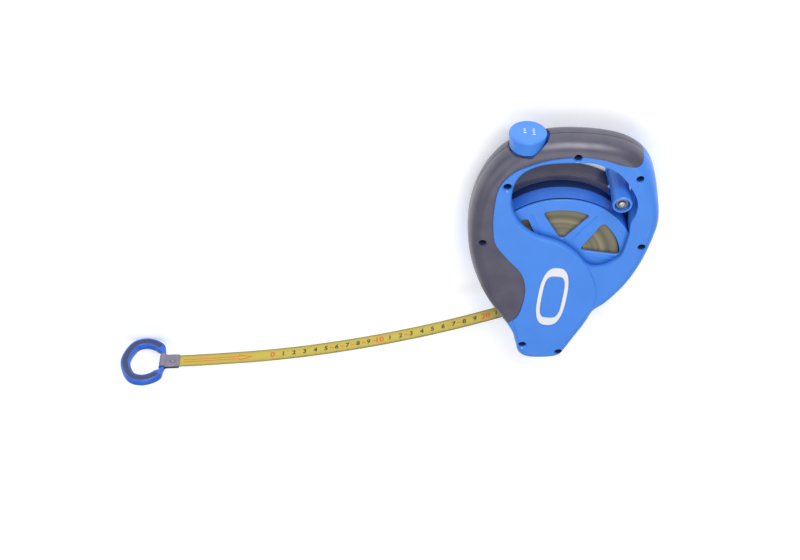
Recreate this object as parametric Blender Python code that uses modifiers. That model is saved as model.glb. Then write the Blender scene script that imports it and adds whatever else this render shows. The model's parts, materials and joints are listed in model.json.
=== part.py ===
"""Open-window surveyor tape reel with top handle, folding crank and end ring.

The reel lies on the rim of its rear drum.  +X runs to the right, +Y towards the handle and
+Z out of the front cover.  All numbers below are millimetres, turned into metres by MM, and
are counted from the reel's axle, which stands at REEL_AXIS in the finished part.
"""

import math

import bmesh
import bpy
import numpy as np
from mathutils import Matrix, Vector

MM = 0.001
GAP = 0.3

# --- driving dimensions -------------------------------------------------------------
REEL_AXIS = (-1.75, -4.8)       # axle, from the middle of the body's footprint
MID = 28.0                      # height of the tape's centre plane
HALF = 16.0                     # half thickness of the casing
FRONT = MID + HALF
BACK = MID - HALF
GRIP_SKIN = 2.4                 # thickness of the rubber overmould
WALL = 5.2                      # casing skin and overmould together
FACE_INNER = 41.0               # inside of the front face over the reel

FLANGE_R = 63.9
FLANGE_FRONT = (35.7, 37.7)
FLANGE_REAR = (18.7, 20.7)
WINDOW_R = 52.5
WINDOW_COUNT = 6
WINDOW_FIRST = 25.0             # angle of the first window's middle, degrees
CORE_R = 18.3
TAPE_ROLL_R = 52.0
TAPE_WIDTH = 14.2
TAPE_THICK = 0.4
AXLE_R = 4.0
CHAMBER_R = 66.0
CHAMBER_FLOOR = 10.0
DRUM_R = 71.0
DRUM_FLOOR = 7.0
DRUM_TOP = 14.0

CRANK_ANGLE = math.atan2(67.5, 47.2)
CRANK_REACH = 82.4              # axle to grip axis
CRANK_HINGE = 12.0              # axle to fold hinge
CRANK_HINGE_Z = 2.4
CRANK_GRIP_R = 8.2
CRANK_GRIP_Z = (6.8, 49.0)

BUTTON_X = -32.0
BUTTON_Z = 28.5
BUTTON_BASE = 114.0
BUTTON_TOP = 128.0
STEM_X, STEM_Z = -43.5, 31.0
BRAKE_PIVOT = (-57.5, 72.0)
BRAKE_PAD_ANGLE = math.radians(147.0)

SCREWS = [(-65, 22), (-47, 83), (8, 113), (60, 91), (69, 17), (-25, -100), (8, -109.5)]

MOUTH = (-42.5, -73.8)
MOUTH_ANGLE = math.radians(20.0)

RING_BAR = (-352.5, -139.2)
RING_BAR_R = 2.2

BODY_OUTLINE = [
    (4, 126.6), (30, 124.3), (50, 118), (64, 107), (72, 92), (77.5, 69), (80.8, 44),
    (78.5, 24), (71.5, -4), (61, -29), (47, -50), (36.5, -60.5), (31.5, -71), (22, -90),
    (14, -107), (8.5, -115.5), (-2, -118.2), (-19, -117.6), (-27.5, -112), (-31, -100),
    (-34, -88), (-39.5, -77), (-47.5, -65), (-57, -49), (-66, -31), (-72.5, -10),
    (-76.4, 14), (-77, 40), (-73.5, 66), (-65, 90), (-52, 109), (-34, 120.5), (-16, 125.2),
]
OPENING = [
    (-43, 70), (-41.5, 84), (-36, 95.5), (-26, 103), (-14, 106.5), (4, 107.5), (20, 107),
    (31, 103), (41, 97.5), (48, 90), (53, 82), (57.5, 74), (60.5, 64), (60, 53), (57, 44),
    (57, 32), (55.5, 20), (52.5, 7), (46, 0), (38, -5), (30, -6), (23.5, -2), (17, 7),
    (9, 15), (1, 21), (-8, 25), (-20, 30), (-30, 38), (-38, 49), (-42, 60),
]
GRIP_BORDER = [
    (62, 109), (60.5, 105), (55, 103), (42, 106), (28, 111), (9, 113.6), (-13, 111.3),
    (-30, 105.2), (-44, 97), (-54, 82), (-57, 60), (-57, 40), (-54, 21), (-43, 4),
    (-31, -12), (-26.5, -30), (-27.5, -48), (-31, -63), (-37, -71),
]
GRIP_OUTSIDE = [(-60, -92), (-130, -70), (-130, 170), (110, 170), (110, 116), (80, 113)]
REAR_GRIP_INNER = [(62, 109), (60, 104), (52, 100), (44, 92), (30, 84), (0, 84), (-36, 76)]
HAND_HOLE_TOP = [
    (-43, 66, 0), (-42, 78, 0.2), (-37, 88, 0.7), (-27, 94, 1), (-12, 97, 1), (8, 98, 1),
    (26, 96, 1), (38, 91.5, 0.7), (48, 86, 0.3), (56, 78, 0), (60, 66, 0), (59, 50, 0),
]
COVER_LOBE = [
    (-42, 60), (-37, 47), (-28, 36), (-12, 26), (2, 20), (12, 12), (21, 1), (29, -12),
    (34, -27), (35.5, -42), (33, -57), (27, -68), (20, -84), (12, -101), (4, -111),
    (-8, -114), (-20, -112), (-27, -103), (-30, -88), (-34, -74), (-38, -58), (-36, -36),
    (-38, -14), (-50, 4), (-60, 22), (-64, 44), (-60, 66), (-52, 76), (-45, 70),
]
TAPE_ROUTE = [
    (-43.6, -74.2), (-57, -79.4), (-80, -87.9), (-107, -97), (-130, -103.9), (-152, -110),
    (-175, -115.7), (-198, -120.8), (-225, -126), (-251, -130), (-270, -132.4),
    (-290, -134.4), (-315, -136.7), (-339.5, -138.5),
]


# --- scene and materials ------------------------------------------------------------
for old in list(bpy.data.objects):
    bpy.data.objects.remove(old, do_unlink=True)

PARTS = bpy.data.collections.new("surveyor_tape_reel")
CUTTERS = bpy.data.collections.new("cutters")
bpy.context.scene.collection.children.link(PARTS)
bpy.context.scene.collection.children.link(CUTTERS)


def material(name, colour, roughness, metallic=0.0):
    made = bpy.data.materials.new(name)
    made.use_nodes = True
    shader = made.node_tree.nodes["Principled BSDF"]
    shader.inputs["Base Color"].default_value = (*colour, 1.0)
    shader.inputs["Roughness"].default_value = roughness
    shader.inputs["Metallic"].default_value = metallic
    return made


BLUE = material("blue_abs", (0.09, 0.30, 0.86), 0.42)
RUBBER = material("grey_rubber", (0.13, 0.12, 0.16), 0.62)
STEEL = material("bright_steel", (0.62, 0.62, 0.63), 0.3, 1.0)
CLIP_METAL = material("clip_steel", (0.24, 0.21, 0.27), 0.42, 1.0)
YELLOW = material("yellow_tape", (0.60, 0.47, 0.05), 0.4)
WHITE = material("white_print", (0.85, 0.86, 0.88), 0.4)
BRASS = material("bearing_bronze", (0.48, 0.33, 0.14), 0.38, 1.0)
FELT = material("black_felt", (0.03, 0.03, 0.035), 0.95)


# --- outlines -----------------------------------------------------------------------
def spline(points, count, closed):
    """Points spaced evenly along a Catmull-Rom curve through the given ones."""
    pts = np.array(points, dtype=float)
    if closed:
        pts = np.vstack([pts[-1], pts, pts[0], pts[1]])
    else:
        pts = np.vstack([2 * pts[0] - pts[1], pts, 2 * pts[-1] - pts[-2]])
    fine = []
    for a, b, c, d in zip(pts[:-3], pts[1:-2], pts[2:-1], pts[3:]):
        for t in np.linspace(0.0, 1.0, 16, endpoint=False):
            fine.append(0.5 * (2 * b + (c - a) * t + (2 * a - 5 * b + 4 * c - d) * t * t
                               + (3 * b - a - 3 * c + d) * t ** 3))
    fine.append(pts[1] if closed else pts[-2])
    fine = np.array(fine)
    run = np.concatenate([[0.0], np.cumsum(np.linalg.norm(np.diff(fine, axis=0), axis=1))])
    at = np.linspace(0.0, run[-1], count, endpoint=not closed)
    return np.stack([np.interp(at, run, fine[:, k]) for k in range(fine.shape[1])], axis=1)


def outward(loop):
    """Unit normals pointing out of a closed loop, whichever way it runs."""
    along = np.roll(loop, -1, axis=0) - np.roll(loop, 1, axis=0)
    turn = np.stack([along[:, 1], -along[:, 0]], axis=1)
    turn /= np.linalg.norm(turn, axis=1)[:, None]
    x, y = loop[:, 0], loop[:, 1]
    area = np.sum(x * np.roll(y, -1) - np.roll(x, -1) * y)
    return turn if area > 0 else -turn


def grown(loop, distance):
    return loop + outward(loop) * np.reshape(distance, (-1, 1))


def filleted(corners, radii, steps=5):
    """A polygon whose corners are rounded by arcs of the given radii."""
    corners = [Vector(c) for c in corners]
    loop = []
    for k, corner in enumerate(corners):
        radius = radii[k]
        if radius <= 0.0:
            loop.append(tuple(corner))
            continue
        before = (corners[k - 1] - corner).normalized()
        after = (corners[(k + 1) % len(corners)] - corner).normalized()
        half = math.acos(max(-1.0, min(1.0, before.dot(after)))) / 2
        middle = corner + (before + after).normalized() * (radius / math.sin(half))
        start = corner + before * (radius / math.tan(half)) - middle
        sweep = start.angle_signed(corner + after * (radius / math.tan(half)) - middle)
        for step in range(steps + 1):
            turned = start.copy()
            turned.rotate(Matrix.Rotation(-sweep * step / steps, 2))
            loop.append(tuple(middle + turned))
    return np.array(loop)


def stadium(length, width, centre, lean, steps=9):
    """A slot shape standing along Y, leaning clockwise by lean degrees."""
    radius = width / 2
    reach = length / 2 - radius
    loop = []
    for side, start in ((1, 0.0), (-1, math.pi)):
        for step in range(steps + 1):
            angle = start + math.pi * step / steps
            loop.append((radius * math.cos(angle), side * reach + radius * math.sin(angle)))
    turn = math.radians(-lean)
    loop = np.array(loop)
    spun = np.stack([loop[:, 0] * math.cos(turn) - loop[:, 1] * math.sin(turn),
                     loop[:, 0] * math.sin(turn) + loop[:, 1] * math.cos(turn)], 1)
    return spun + np.array(centre)


# --- solids -------------------------------------------------------------------------
def link(name, mesh, collection):
    made = bpy.data.objects.new(name, mesh)
    collection.objects.link(made)
    if collection == CUTTERS:
        made.hide_render = True
        made.display_type = "WIRE"
    return made


def from_bmesh(name, shape, collection):
    """Makes an object of a shape that was built in millimetres."""
    bmesh.ops.recalc_face_normals(shape, faces=shape.faces)
    shape.transform(Matrix.Scale(MM, 4))
    mesh = bpy.data.meshes.new(name)
    shape.to_mesh(mesh)
    shape.free()
    return link(name, mesh, collection)


def loft(name, sections, collection=CUTTERS):
    """A closed solid through (loop, height) sections that have equally many points."""
    shape = bmesh.new()
    rings = []
    for loop, height in sections:
        heights = np.broadcast_to(height, (len(loop),))
        rings.append([shape.verts.new((x, y, z)) for (x, y), z in zip(loop, heights)])
    for low, high in zip(rings[:-1], rings[1:]):
        for k in range(len(low)):
            after = (k + 1) % len(low)
            shape.faces.new((low[k], low[after], high[after], high[k]))
    shape.faces.new(rings[0][::-1])
    shape.faces.new(rings[-1])
    return from_bmesh(name, shape, collection)


def prism(name, loop, low, high, collection=CUTTERS):
    return loft(name, [(loop, low), (loop, high)], collection)


def cylinder(name, radius, start, end, collection=CUTTERS, sides=32, end_radius=None):
    """A round bar or cone from one point to another."""
    start, end = Vector(start), Vector(end)
    run = end - start
    shape = bmesh.new()
    bmesh.ops.create_cone(shape, cap_ends=True, segments=sides, radius1=radius,
                          radius2=end_radius or radius, depth=run.length)
    made = from_bmesh(name, shape, collection)
    made.rotation_mode = "QUATERNION"
    made.rotation_quaternion = Vector((0, 0, 1)).rotation_difference(run.normalized())
    made.location = (start + end) / 2 * MM
    return made


def block(name, size, centre, collection=CUTTERS, angle=0.0):
    """A box turned about Z by angle."""
    shape = bmesh.new()
    bmesh.ops.create_cube(shape, size=1.0)
    shape.transform(Matrix.Diagonal((*size, 1.0)))
    made = from_bmesh(name, shape, collection)
    made.location = Vector(centre) * MM
    made.rotation_euler = (0.0, 0.0, angle)
    return made


def turned(name, profile, centre=(0.0, 0.0), collection=PARTS, steps=64):
    """A turned solid: the profile, (radius, height) from top to bottom, spun about Z."""
    mesh = bpy.data.meshes.new(name)
    rows = [(radius * MM, 0.0, height * MM) for radius, height in profile]
    closed = min(radius for radius, _ in profile) > 0.0
    edges = [(k, k + 1) for k in range(len(rows) - 1)] + ([(len(rows) - 1, 0)] if closed else [])
    mesh.from_pydata(rows, edges, [])
    made = link(name, mesh, collection)
    made.location = (centre[0] * MM, centre[1] * MM, 0.0)
    screw = made.modifiers.new("turn", "SCREW")
    screw.steps = screw.render_steps = steps
    screw.use_merge_vertices = True
    screw.merge_threshold = 0.000001
    return made


def washer(name, inner, outer, low, high, centre=(0.0, 0.0), collection=PARTS, steps=48):
    return turned(name, [(inner, high), (outer, high), (outer, low), (inner, low)],
                  centre, collection, steps)


def cut(target, *cutters):
    for cutter in cutters:
        step = target.modifiers.new("cut_" + cutter.name, "BOOLEAN")
        step.operation = "DIFFERENCE"
        step.object = cutter
    return target


def join(target, *others):
    for other in others:
        step = target.modifiers.new("join_" + other.name, "BOOLEAN")
        step.operation = "UNION"
        step.object = other
    return target


def keep(target, other):
    step = target.modifiers.new("keep_" + other.name, "BOOLEAN")
    step.operation = "INTERSECT"
    step.object = other
    return target


def finish(part, surface):
    part.data.materials.clear()
    part.data.materials.append(surface)
    part.data.shade_smooth()
    part.data.set_sharp_from_angle(angle=math.radians(35))
    return part


def polar(radius, angle, z=None):
    flat = (radius * math.cos(angle), radius * math.sin(angle))
    return flat if z is None else (*flat, z)


# --- casing -------------------------------------------------------------------------
BODY = spline(BODY_OUTLINE, 66, closed=True)


def smooth_step(value, low, high):
    t = np.clip((value - low) / (high - low), 0.0, 1.0)
    return t * t * (3 - 2 * t)


def edge_radius():
    """The casing's edge is round at the handle, tighter at the foot."""
    x, y = BODY[:, 0], BODY[:, 1]
    handle = np.maximum(smooth_step(y, 45, 95), smooth_step(-x, 50, 68) * smooth_step(y, -60, -20))
    foot = smooth_step(-y, 62, 84)
    return 7.0 + 6.0 * handle - 3.0 * foot


def casing(name, inset, side, collection=CUTTERS):
    """One half of the casing's outer form, shrunk by inset; side is +1 front, -1 rear."""
    steps = 3 if inset == 0 else 2
    radius = np.maximum(edge_radius() - inset, 1.2)
    loop = grown(BODY, -inset)
    half = HALF - inset
    start = MID + side * (GAP / 2 if inset == 0 else -1.0)
    sections = [(loop, start)]
    for step in range(steps + 1):
        angle = math.radians(90.0 * step / steps)
        sections.append((grown(loop, -radius * (1 - math.cos(angle))),
                         MID + side * (half - radius + radius * math.sin(angle))))
    return loft(name, sections, collection)


def hand_hole(bottom_radius, flare, margin=0.0):
    """The finger opening in the rear shell; flare lifts its handle side."""
    top = np.array(HAND_HOLE_TOP)
    rim = np.stack([top[:, 0], top[:, 1] + flare * top[:, 2]], 1)
    left = math.acos(rim[0][0] / bottom_radius)
    right = math.acos(rim[-1][0] / bottom_radius)
    floor = [polar(bottom_radius, a) for a in np.linspace(right, left, 9)]
    upper = spline([floor[-1], *rim, floor[0]], 28, closed=False)
    loop = np.vstack([np.array(floor)[1:-1], upper])
    return grown(loop, margin) if margin else loop


FRONT_OPENING = spline(OPENING, 48, closed=True)
GRIP_EDGE = spline(GRIP_BORDER, 32, closed=False)
GRIP_REGION = np.vstack([GRIP_EDGE, GRIP_OUTSIDE])
COLUMN_EDGE = [point for point in GRIP_EDGE if point[1] < 66]
REAR_GRIP_REGION = np.vstack([spline(REAR_GRIP_INNER, 14, closed=False), COLUMN_EDGE, GRIP_OUTSIDE])


def flared_hole(name, margin=0.0):
    """Finger opening above the drum wall, its handle side rounded towards the front."""
    round_r = 7.5
    sections = [(hand_hole(60.0, 0.0, margin), DRUM_TOP)]
    for step in range(4):
        angle = math.radians(30.0 * step)
        sections.append((hand_hole(60.0, round_r * (1 - math.cos(angle)), margin),
                         MID + 0.6 - round_r + round_r * math.sin(angle)))
    return loft(name, sections)


def crank_sweep():
    """The room that the crank grip needs as it swings out about the fold hinge."""
    reach = CRANK_REACH - CRANK_HINGE
    rise = CRANK_GRIP_Z[1] + 0.8 - CRANK_HINGE_Z
    half_width = CRANK_GRIP_R + 0.8
    shape = bmesh.new()
    profile = [(60.0, half_width)]
    for step in range(9):
        side = half_width * math.cos(math.pi * step / 8)
        bulge = half_width * math.sin(math.pi * step / 8)
        profile.append((math.hypot(reach + bulge, rise), side))
    profile.append((60.0, -half_width))
    start = math.radians(-7.0)
    verts = [shape.verts.new((r * math.cos(start), side, r * math.sin(start)))
             for r, side in profile]
    face = shape.faces.new(verts)
    bmesh.ops.spin(shape, geom=[face, *face.edges, *face.verts], cent=(0, 0, 0),
                   axis=(0, -1, 0), angle=math.radians(48.0), steps=8, use_duplicate=False)
    shape.transform(Matrix.Translation(Vector(polar(CRANK_HINGE, CRANK_ANGLE, CRANK_HINGE_Z)))
                    @ Matrix.Rotation(CRANK_ANGLE, 4, "Z"))
    return from_bmesh("crank_sweep", shape, CUTTERS)


def button_pocket():
    """Saddle across the handle in which the lock button sits."""
    radius, deep, floor = 15.6, 22.0, 111.7
    shape = bmesh.new()
    bmesh.ops.create_cone(shape, cap_ends=True, segments=32, radius1=radius, radius2=radius,
                          depth=30.0)
    shape.transform(Matrix.Translation((BUTTON_X, floor + 15.0, BUTTON_Z))
                    @ Matrix.Diagonal((1.0, 1.0, deep / radius, 1.0))
                    @ Matrix.Rotation(math.radians(90), 4, "X"))
    return from_bmesh("button_pocket", shape, CUTTERS)


SWEEP = crank_sweep()
POCKET = button_pocket()
STEM_HOLE = cylinder("stem_hole", 2.6, (STEM_X, 101.0, STEM_Z), (STEM_X, 116.0, STEM_Z), sides=16)
MOUTH_SLOT = block("mouth_slot", (26.0, 5.0, 16.0), (MOUTH[0] + 3.0, MOUTH[1] + 1.1, MID),
                   angle=MOUTH_ANGLE)
OPENING_CUT = prism("opening_cut", FRONT_OPENING, MID - 1.0, FRONT + 6.0)
HOLE_HIGH = flared_hole("hole_high")
HOLE_LOW = prism("hole_low", hand_hole(DRUM_R, 0.0), -2.0, DRUM_TOP + 0.01)
CHAMBER = cylinder("chamber", CHAMBER_R, (0, 0, CHAMBER_FLOOR), (0, 0, FACE_INNER), sides=56)


def cavity(side):
    """Hollow of one shell, kept clear of the openings, the crank corner and the button."""
    word = "front" if side > 0 else "rear"
    space = casing(f"{word}_cavity", WALL, side)
    if side > 0:
        walls = prism("front_opening_wall", grown(FRONT_OPENING, 3.0), MID - 3, FRONT + 3)
    else:
        walls = prism("rear_opening_wall", hand_hole(60.0, 7.5, 3.0), BACK - 3, MID + 3)
    corner = cylinder(f"{word}_crank_corner", 19.0, (55, 80, BACK - 3), (55, 80, FRONT + 3))
    saddle = block(f"{word}_button_seat", (40, 24, 60), (BUTTON_X, 116, MID))
    return cut(space, walls, corner, saddle)


def screw_bosses(side):
    bosses = []
    for number, (x, y) in enumerate(SCREWS, 1):
        low, high = (MID + 0.5, 42.0) if side > 0 else (BACK + 1.2, MID - 0.5)
        bosses.append(cylinder(f"boss_{side}_{number}", 3.9, (x, y, low), (x, y, high), sides=10))
    return bosses


def grip_parts(side):
    """The rubber skin of one half, and the cutter that lowers the shell beneath it."""
    word = "front" if side > 0 else "rear"
    region = GRIP_REGION if side > 0 else REAR_GRIP_REGION
    low, high = (MID - 5, FRONT + 5) if side > 0 else (BACK - 5, MID + 5)

    under = casing(f"{word}_under_grip", GRIP_SKIN - GAP, side)
    recess_core = casing(f"{word}_recess_core", GRIP_SKIN, side)
    if side < 0:
        cut(under, flared_hole("under_hole", GRIP_SKIN - GAP),
            prism("under_hole_low", hand_hole(DRUM_R, 0.0, GRIP_SKIN - GAP), 0, DRUM_TOP + 1))
        cut(recess_core, flared_hole("core_hole", GRIP_SKIN + 0.3),
            prism("core_hole_low", hand_hole(DRUM_R, 0.0, GRIP_SKIN + 0.3), 0, DRUM_TOP + 1))
    recess = cut(prism(f"{word}_recess", grown(region, GAP), low, high), recess_core)

    skin = casing(f"{word}_grip", 0, side, PARTS)
    keep(skin, prism(f"{word}_grip_region", region, low, high))
    cut(skin, under)
    return skin, recess


def screw_hole_cutters():
    cutters = []
    for number, (x, y) in enumerate(SCREWS, 1):
        cutters.append(cylinder(f"screw_bore_{number}", 1.9, (x, y, 16), (x, y, 36), sides=8))
        cutters.append(cylinder(f"screw_well_{number}", 3.2, (x, y, 35.5), (x, y, 50), sides=12))
    return cutters


SCREW_CUTS = screw_hole_cutters()
BADGE_CENTRE = (-2.5, -39.5)
BADGE_LEAN = 4.5


def front_side():
    skin, recess = grip_parts(+1)
    shell = casing("front_shell", 0, +1, PARTS)
    lobe = spline(COVER_LOBE, 44, closed=True)
    raised = loft("cover_lobe", [(lobe, 40.0), (lobe, FRONT + 0.3), (grown(lobe, -1.2), FRONT + 1.2)])
    join(shell, raised)
    cut(shell, cavity(+1), CHAMBER)
    join(shell, *screw_bosses(+1))
    cut(shell, recess)
    join(shell, cylinder("front_bush_boss", 8.5, (0, 0, 38.3), (0, 0, 42.0)),
         cylinder("front_pivot_boss", 3.6, (*BRAKE_PIVOT, 37.9), (*BRAKE_PIVOT, 40.5)))
    cut(shell, OPENING_CUT, SWEEP, POCKET, STEM_HOLE, MOUTH_SLOT)
    cut(shell, cylinder("front_bush_seat", 6.3, (0, 0, 37.0), (0, 0, 41.2)),
        cylinder("front_pivot_bore", 1.8, (*BRAKE_PIVOT, 36.0), (*BRAKE_PIVOT, 39.8), sides=20),
        prism("badge_recess", stadium(68.6, 25.6, BADGE_CENTRE, BADGE_LEAN), 44.0, 47.0))
    cut(shell, *SCREW_CUTS)
    finish(shell, BLUE)
    cut(skin, SWEEP, POCKET, STEM_HOLE, MOUTH_SLOT, *SCREW_CUTS[0:6])
    finish(skin, RUBBER)


def rear_side():
    skin, recess = grip_parts(-1)
    shell = casing("rear_shell", 0, -1, PARTS)
    bosses = screw_bosses(-1)
    cut(shell, cavity(-1))
    join(shell, *bosses)
    cut(shell, recess)
    join(shell, cylinder("drum_body", DRUM_R + 0.6, (0, 0, DRUM_FLOOR), (0, 0, 16), sides=56))
    cut(shell, CHAMBER)
    rim = washer("drum_rim", 68.6, DRUM_R + 0.25, 0.0, DRUM_FLOOR + 0.5, collection=CUTTERS, steps=56)
    hub = cylinder("drum_hub", 19.0, (0, 0, DRUM_FLOOR + 1.3), (0, 0, 12.8))
    bush_boss = cylinder("rear_bush_boss", 8.5, (0, 0, 11.0), (0, 0, 16.6))
    pivot_boss = cylinder("rear_pivot_boss", 3.6, (*BRAKE_PIVOT, 16.6), (*BRAKE_PIVOT, 27.6), sides=20)
    join(shell, rim, hub, bush_boss, pivot_boss)
    middle = (CRANK_REACH + 55.0) / 2
    arm_gate = block("arm_gate", (CRANK_REACH - 55.0 + 20, 13.0, 9.0),
                     polar(middle + 10, CRANK_ANGLE, DRUM_FLOOR - 4.5), angle=CRANK_ANGLE)
    arm_notch = block("arm_notch", (12.0, 12.2, 20.0), polar(DRUM_R + 1.2, CRANK_ANGLE, 6.0),
                      angle=CRANK_ANGLE)
    cut(shell, HOLE_HIGH, HOLE_LOW, SWEEP, POCKET, STEM_HOLE, MOUTH_SLOT, arm_gate, arm_notch)
    cut(shell, cylinder("crank_recess", 17.8, (0, 0, 3.0), (0, 0, 9.8), sides=36),
        cylinder("axle_passage", 4.6, (0, 0, 8.0), (0, 0, 15.0)),
        cylinder("rear_bush_seat", 6.3, (0, 0, 13.1), (0, 0, 18.0)),
        cylinder("rear_pivot_bore", 1.8, (*BRAKE_PIVOT, 17.5), (*BRAKE_PIVOT, 30.0), sides=20))
    cut(shell, *SCREW_CUTS[0::2])
    finish(shell, BLUE)
    cut(skin, cylinder("drum_clearance", DRUM_R + 0.6 + GAP, (0, 0, 0), (0, 0, 16.3), sides=56),
        HOLE_HIGH, HOLE_LOW, SWEEP, POCKET, STEM_HOLE, MOUTH_SLOT)
    finish(skin, RUBBER)


def shell_screws():
    for number, (x, y) in enumerate(SCREWS, 1):
        screw = turned(f"shell_screw_{number}",
                       [(0, 37.6), (2.8, 37.4), (2.8, 35.8), (1.5, 35.8), (1.5, 17.5), (0, 16.6)],
                       (x, y), steps=8)
        cut(screw, block(f"driver_slot_{number}", (4.2, 0.9, 1.6), (x, y, 37.6), angle=0.5 * number))
        finish(screw, STEEL)


def badge():
    plate = prism("badge_plate", stadium(68, 25, BADGE_CENTRE, BADGE_LEAN), 44.3, 46.0, PARTS)
    cut(plate, prism("badge_pocket", stadium(50.6, 17.6, BADGE_CENTRE, BADGE_LEAN), 45.2, 47.0))
    finish(plate, WHITE)
    finish(prism("badge_inset", stadium(50, 17, BADGE_CENTRE, BADGE_LEAN), 45.5, 46.4, PARTS), BLUE)


# --- reel ---------------------------------------------------------------------------
def window_loop(angle):
    half = math.radians(22.5)
    corners = [polar(WINDOW_R, angle + half * k) for k in (1, 0.5, 0, -0.5, -1)]
    corners.append(polar(19.0, angle))
    return filleted(corners, [3.0, 0, 0, 0, 3.0, 3.5], steps=2)


def reel():
    low, high = FLANGE_FRONT
    front = turned("reel_front_flange",
                   [(AXLE_R + GAP, high), (FLANGE_R - 0.5, high), (FLANGE_R, high - 0.5),
                    (FLANGE_R, low), (AXLE_R + GAP, low)], steps=56)
    for number in range(WINDOW_COUNT):
        angle = math.radians(WINDOW_FIRST + number * 360 / WINDOW_COUNT)
        cut(front, prism(f"window_{number}", window_loop(angle), low - 1, high + 1))
        spoke = angle + math.radians(30.0)
        side = Vector(polar(3.2, spoke + math.pi / 2))
        start, end = Vector(polar(23.0, spoke)) + side, Vector(polar(54.0, spoke)) + side * 0.7
        run = end - start
        join(front, block(f"spoke_rib_{number}", (run.length, 0.9, 1.2),
                          (*((start + end) / 2), high), angle=math.atan2(run.y, run.x)))
    finish(front, BLUE)

    low, high = FLANGE_REAR
    finish(turned("reel_rear_flange",
                  [(AXLE_R + GAP, 35.4), (CORE_R, 35.4), (CORE_R, high), (60.5, high), (60.5, low),
                   (AXLE_R + GAP, low)], steps=40), BLUE)
    finish(washer("wound_tape", CORE_R + GAP, TAPE_ROLL_R, MID - TAPE_WIDTH / 2,
                  MID + TAPE_WIDTH / 2, steps=40), YELLOW)
    axle = cylinder("reel_axle", AXLE_R, (0, 0, 8.1), (0, 0, 40.8), PARTS, sides=28)
    cut(axle, cylinder("axle_thread", 1.8, (0, 0, 7.0), (0, 0, 15.0), sides=16))
    finish(axle, STEEL)
    finish(washer("front_bush", AXLE_R + GAP, 6.0, 38.4, 40.9, steps=24), BRASS)
    finish(washer("rear_bush", AXLE_R + GAP, 6.0, 13.4, 16.5, steps=24), BRASS)
    finish(washer("axle_clip", AXLE_R + GAP, 6.6, 16.9, 18.1, steps=24), STEEL)

    guard = turned("reel_guard", [(61.2, 35.2), (64.0, 35.2), (64.0, 20.3), (62.6, 19.6),
                                  (62.6, CHAMBER_FLOOR + GAP), (61.2, CHAMBER_FLOOR + GAP)], steps=52)
    cut(guard, block("guard_gap", (40, 30, 40), polar(66, math.radians(-105), MID), angle=0.0))
    finish(guard, BLUE)


# --- crank --------------------------------------------------------------------------
def along_crank(distance, side, z):
    base = Vector(polar(distance, CRANK_ANGLE))
    across = Vector(polar(side, CRANK_ANGLE + math.pi / 2))
    return (*(base + across), z)


def crank():
    boss = cylinder("crank_boss", 17.0, (0, 0, 4.8), (0, 0, 9.5), PARTS, sides=36)
    for side in (-1, 1):
        join(boss, block(f"hinge_cheek_{side}", (7.0, 3.0, 5.0),
                         along_crank(CRANK_HINGE, side * 6.9, 2.9), angle=CRANK_ANGLE))
    hinge_start = along_crank(CRANK_HINGE, -8.0, CRANK_HINGE_Z)
    hinge_end = along_crank(CRANK_HINGE, 8.0, CRANK_HINGE_Z)
    hinge_bore = cylinder("hinge_bore", 1.3, along_crank(CRANK_HINGE, -10, CRANK_HINGE_Z),
                          along_crank(CRANK_HINGE, 10, CRANK_HINGE_Z), sides=16)
    cut(boss, hinge_bore, cylinder("boss_bore", AXLE_R + GAP, (0, 0, 7.8), (0, 0, 10.5)),
        cylinder("boss_screw_bore", 1.9, (0, 0, 4.0), (0, 0, 8.2), sides=16),
        cylinder("boss_screw_well", 4.0, (0, 0, 4.0), (0, 0, 6.6), sides=24))
    finish(boss, BLUE)
    finish(turned("boss_screw", [(0, 14.2), (1.5, 13.6), (1.5, 6.3), (3.6, 6.3), (3.6, 5.0), (0, 5.0)],
                  steps=24), STEEL)
    finish(cylinder("crank_hinge_pin", 1.0, hinge_start, hinge_end, PARTS, sides=16), STEEL)

    bar = [(CRANK_HINGE, 5.0), (70.0, 4.6), (CRANK_REACH, 4.6), (CRANK_REACH, -4.6), (70.0, -4.6),
           (CRANK_HINGE, -5.0)]
    arm = prism("crank_arm", np.array([along_crank(r, s, 0)[:2] for r, s in bar]), 0.5, 4.3, PARTS)
    tip = along_crank(CRANK_REACH, 0, 0)[:2]
    join(arm, cylinder("arm_root", 2.0, along_crank(CRANK_HINGE, -4.8, CRANK_HINGE_Z),
                       along_crank(CRANK_HINGE, 4.8, CRANK_HINGE_Z), sides=24),
         cylinder("arm_tip", 9.3, (*tip, 0.4), (*tip, 6.4), sides=40))
    cut(arm, hinge_bore, cylinder("arm_tip_bore", 2.7, (*tip, -1), (*tip, 8), sides=20))
    finish(arm, BLUE)

    pin = cylinder("grip_pin", 2.4, (*tip, 0.9), (*tip, 45.4), PARTS, sides=24)
    cut(pin, cylinder("grip_pin_thread", 1.4, (*tip, 36), (*tip, 47), sides=16))
    finish(pin, STEEL)
    low, high = CRANK_GRIP_Z
    finish(turned("crank_grip",
                  [(6.5, high), (7.4, high), (CRANK_GRIP_R, high - 0.8), (CRANK_GRIP_R, low + 0.8),
                   (7.6, low), (2.8, low), (2.8, 45.4), (6.3, 45.4), (6.3, high - 0.2)], tip,
                  steps=26), BLUE)
    finish(washer("grip_washer", 1.5, 5.0, 45.7, 46.7, tip, steps=24), STEEL)
    screw = turned("grip_screw", [(0, 48.9), (1.6, 48.8), (3.0, 48.2), (3.4, 47.0), (1.1, 47.0),
                                  (1.1, 37.5), (0, 37.0)], tip, steps=20)
    cut(screw, block("grip_driver_slot", (3.6, 0.9, 1.6), (*tip, 48.9)),
        block("grip_driver_cross", (0.9, 3.6, 1.6), (*tip, 48.9)))
    finish(screw, STEEL)


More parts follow.
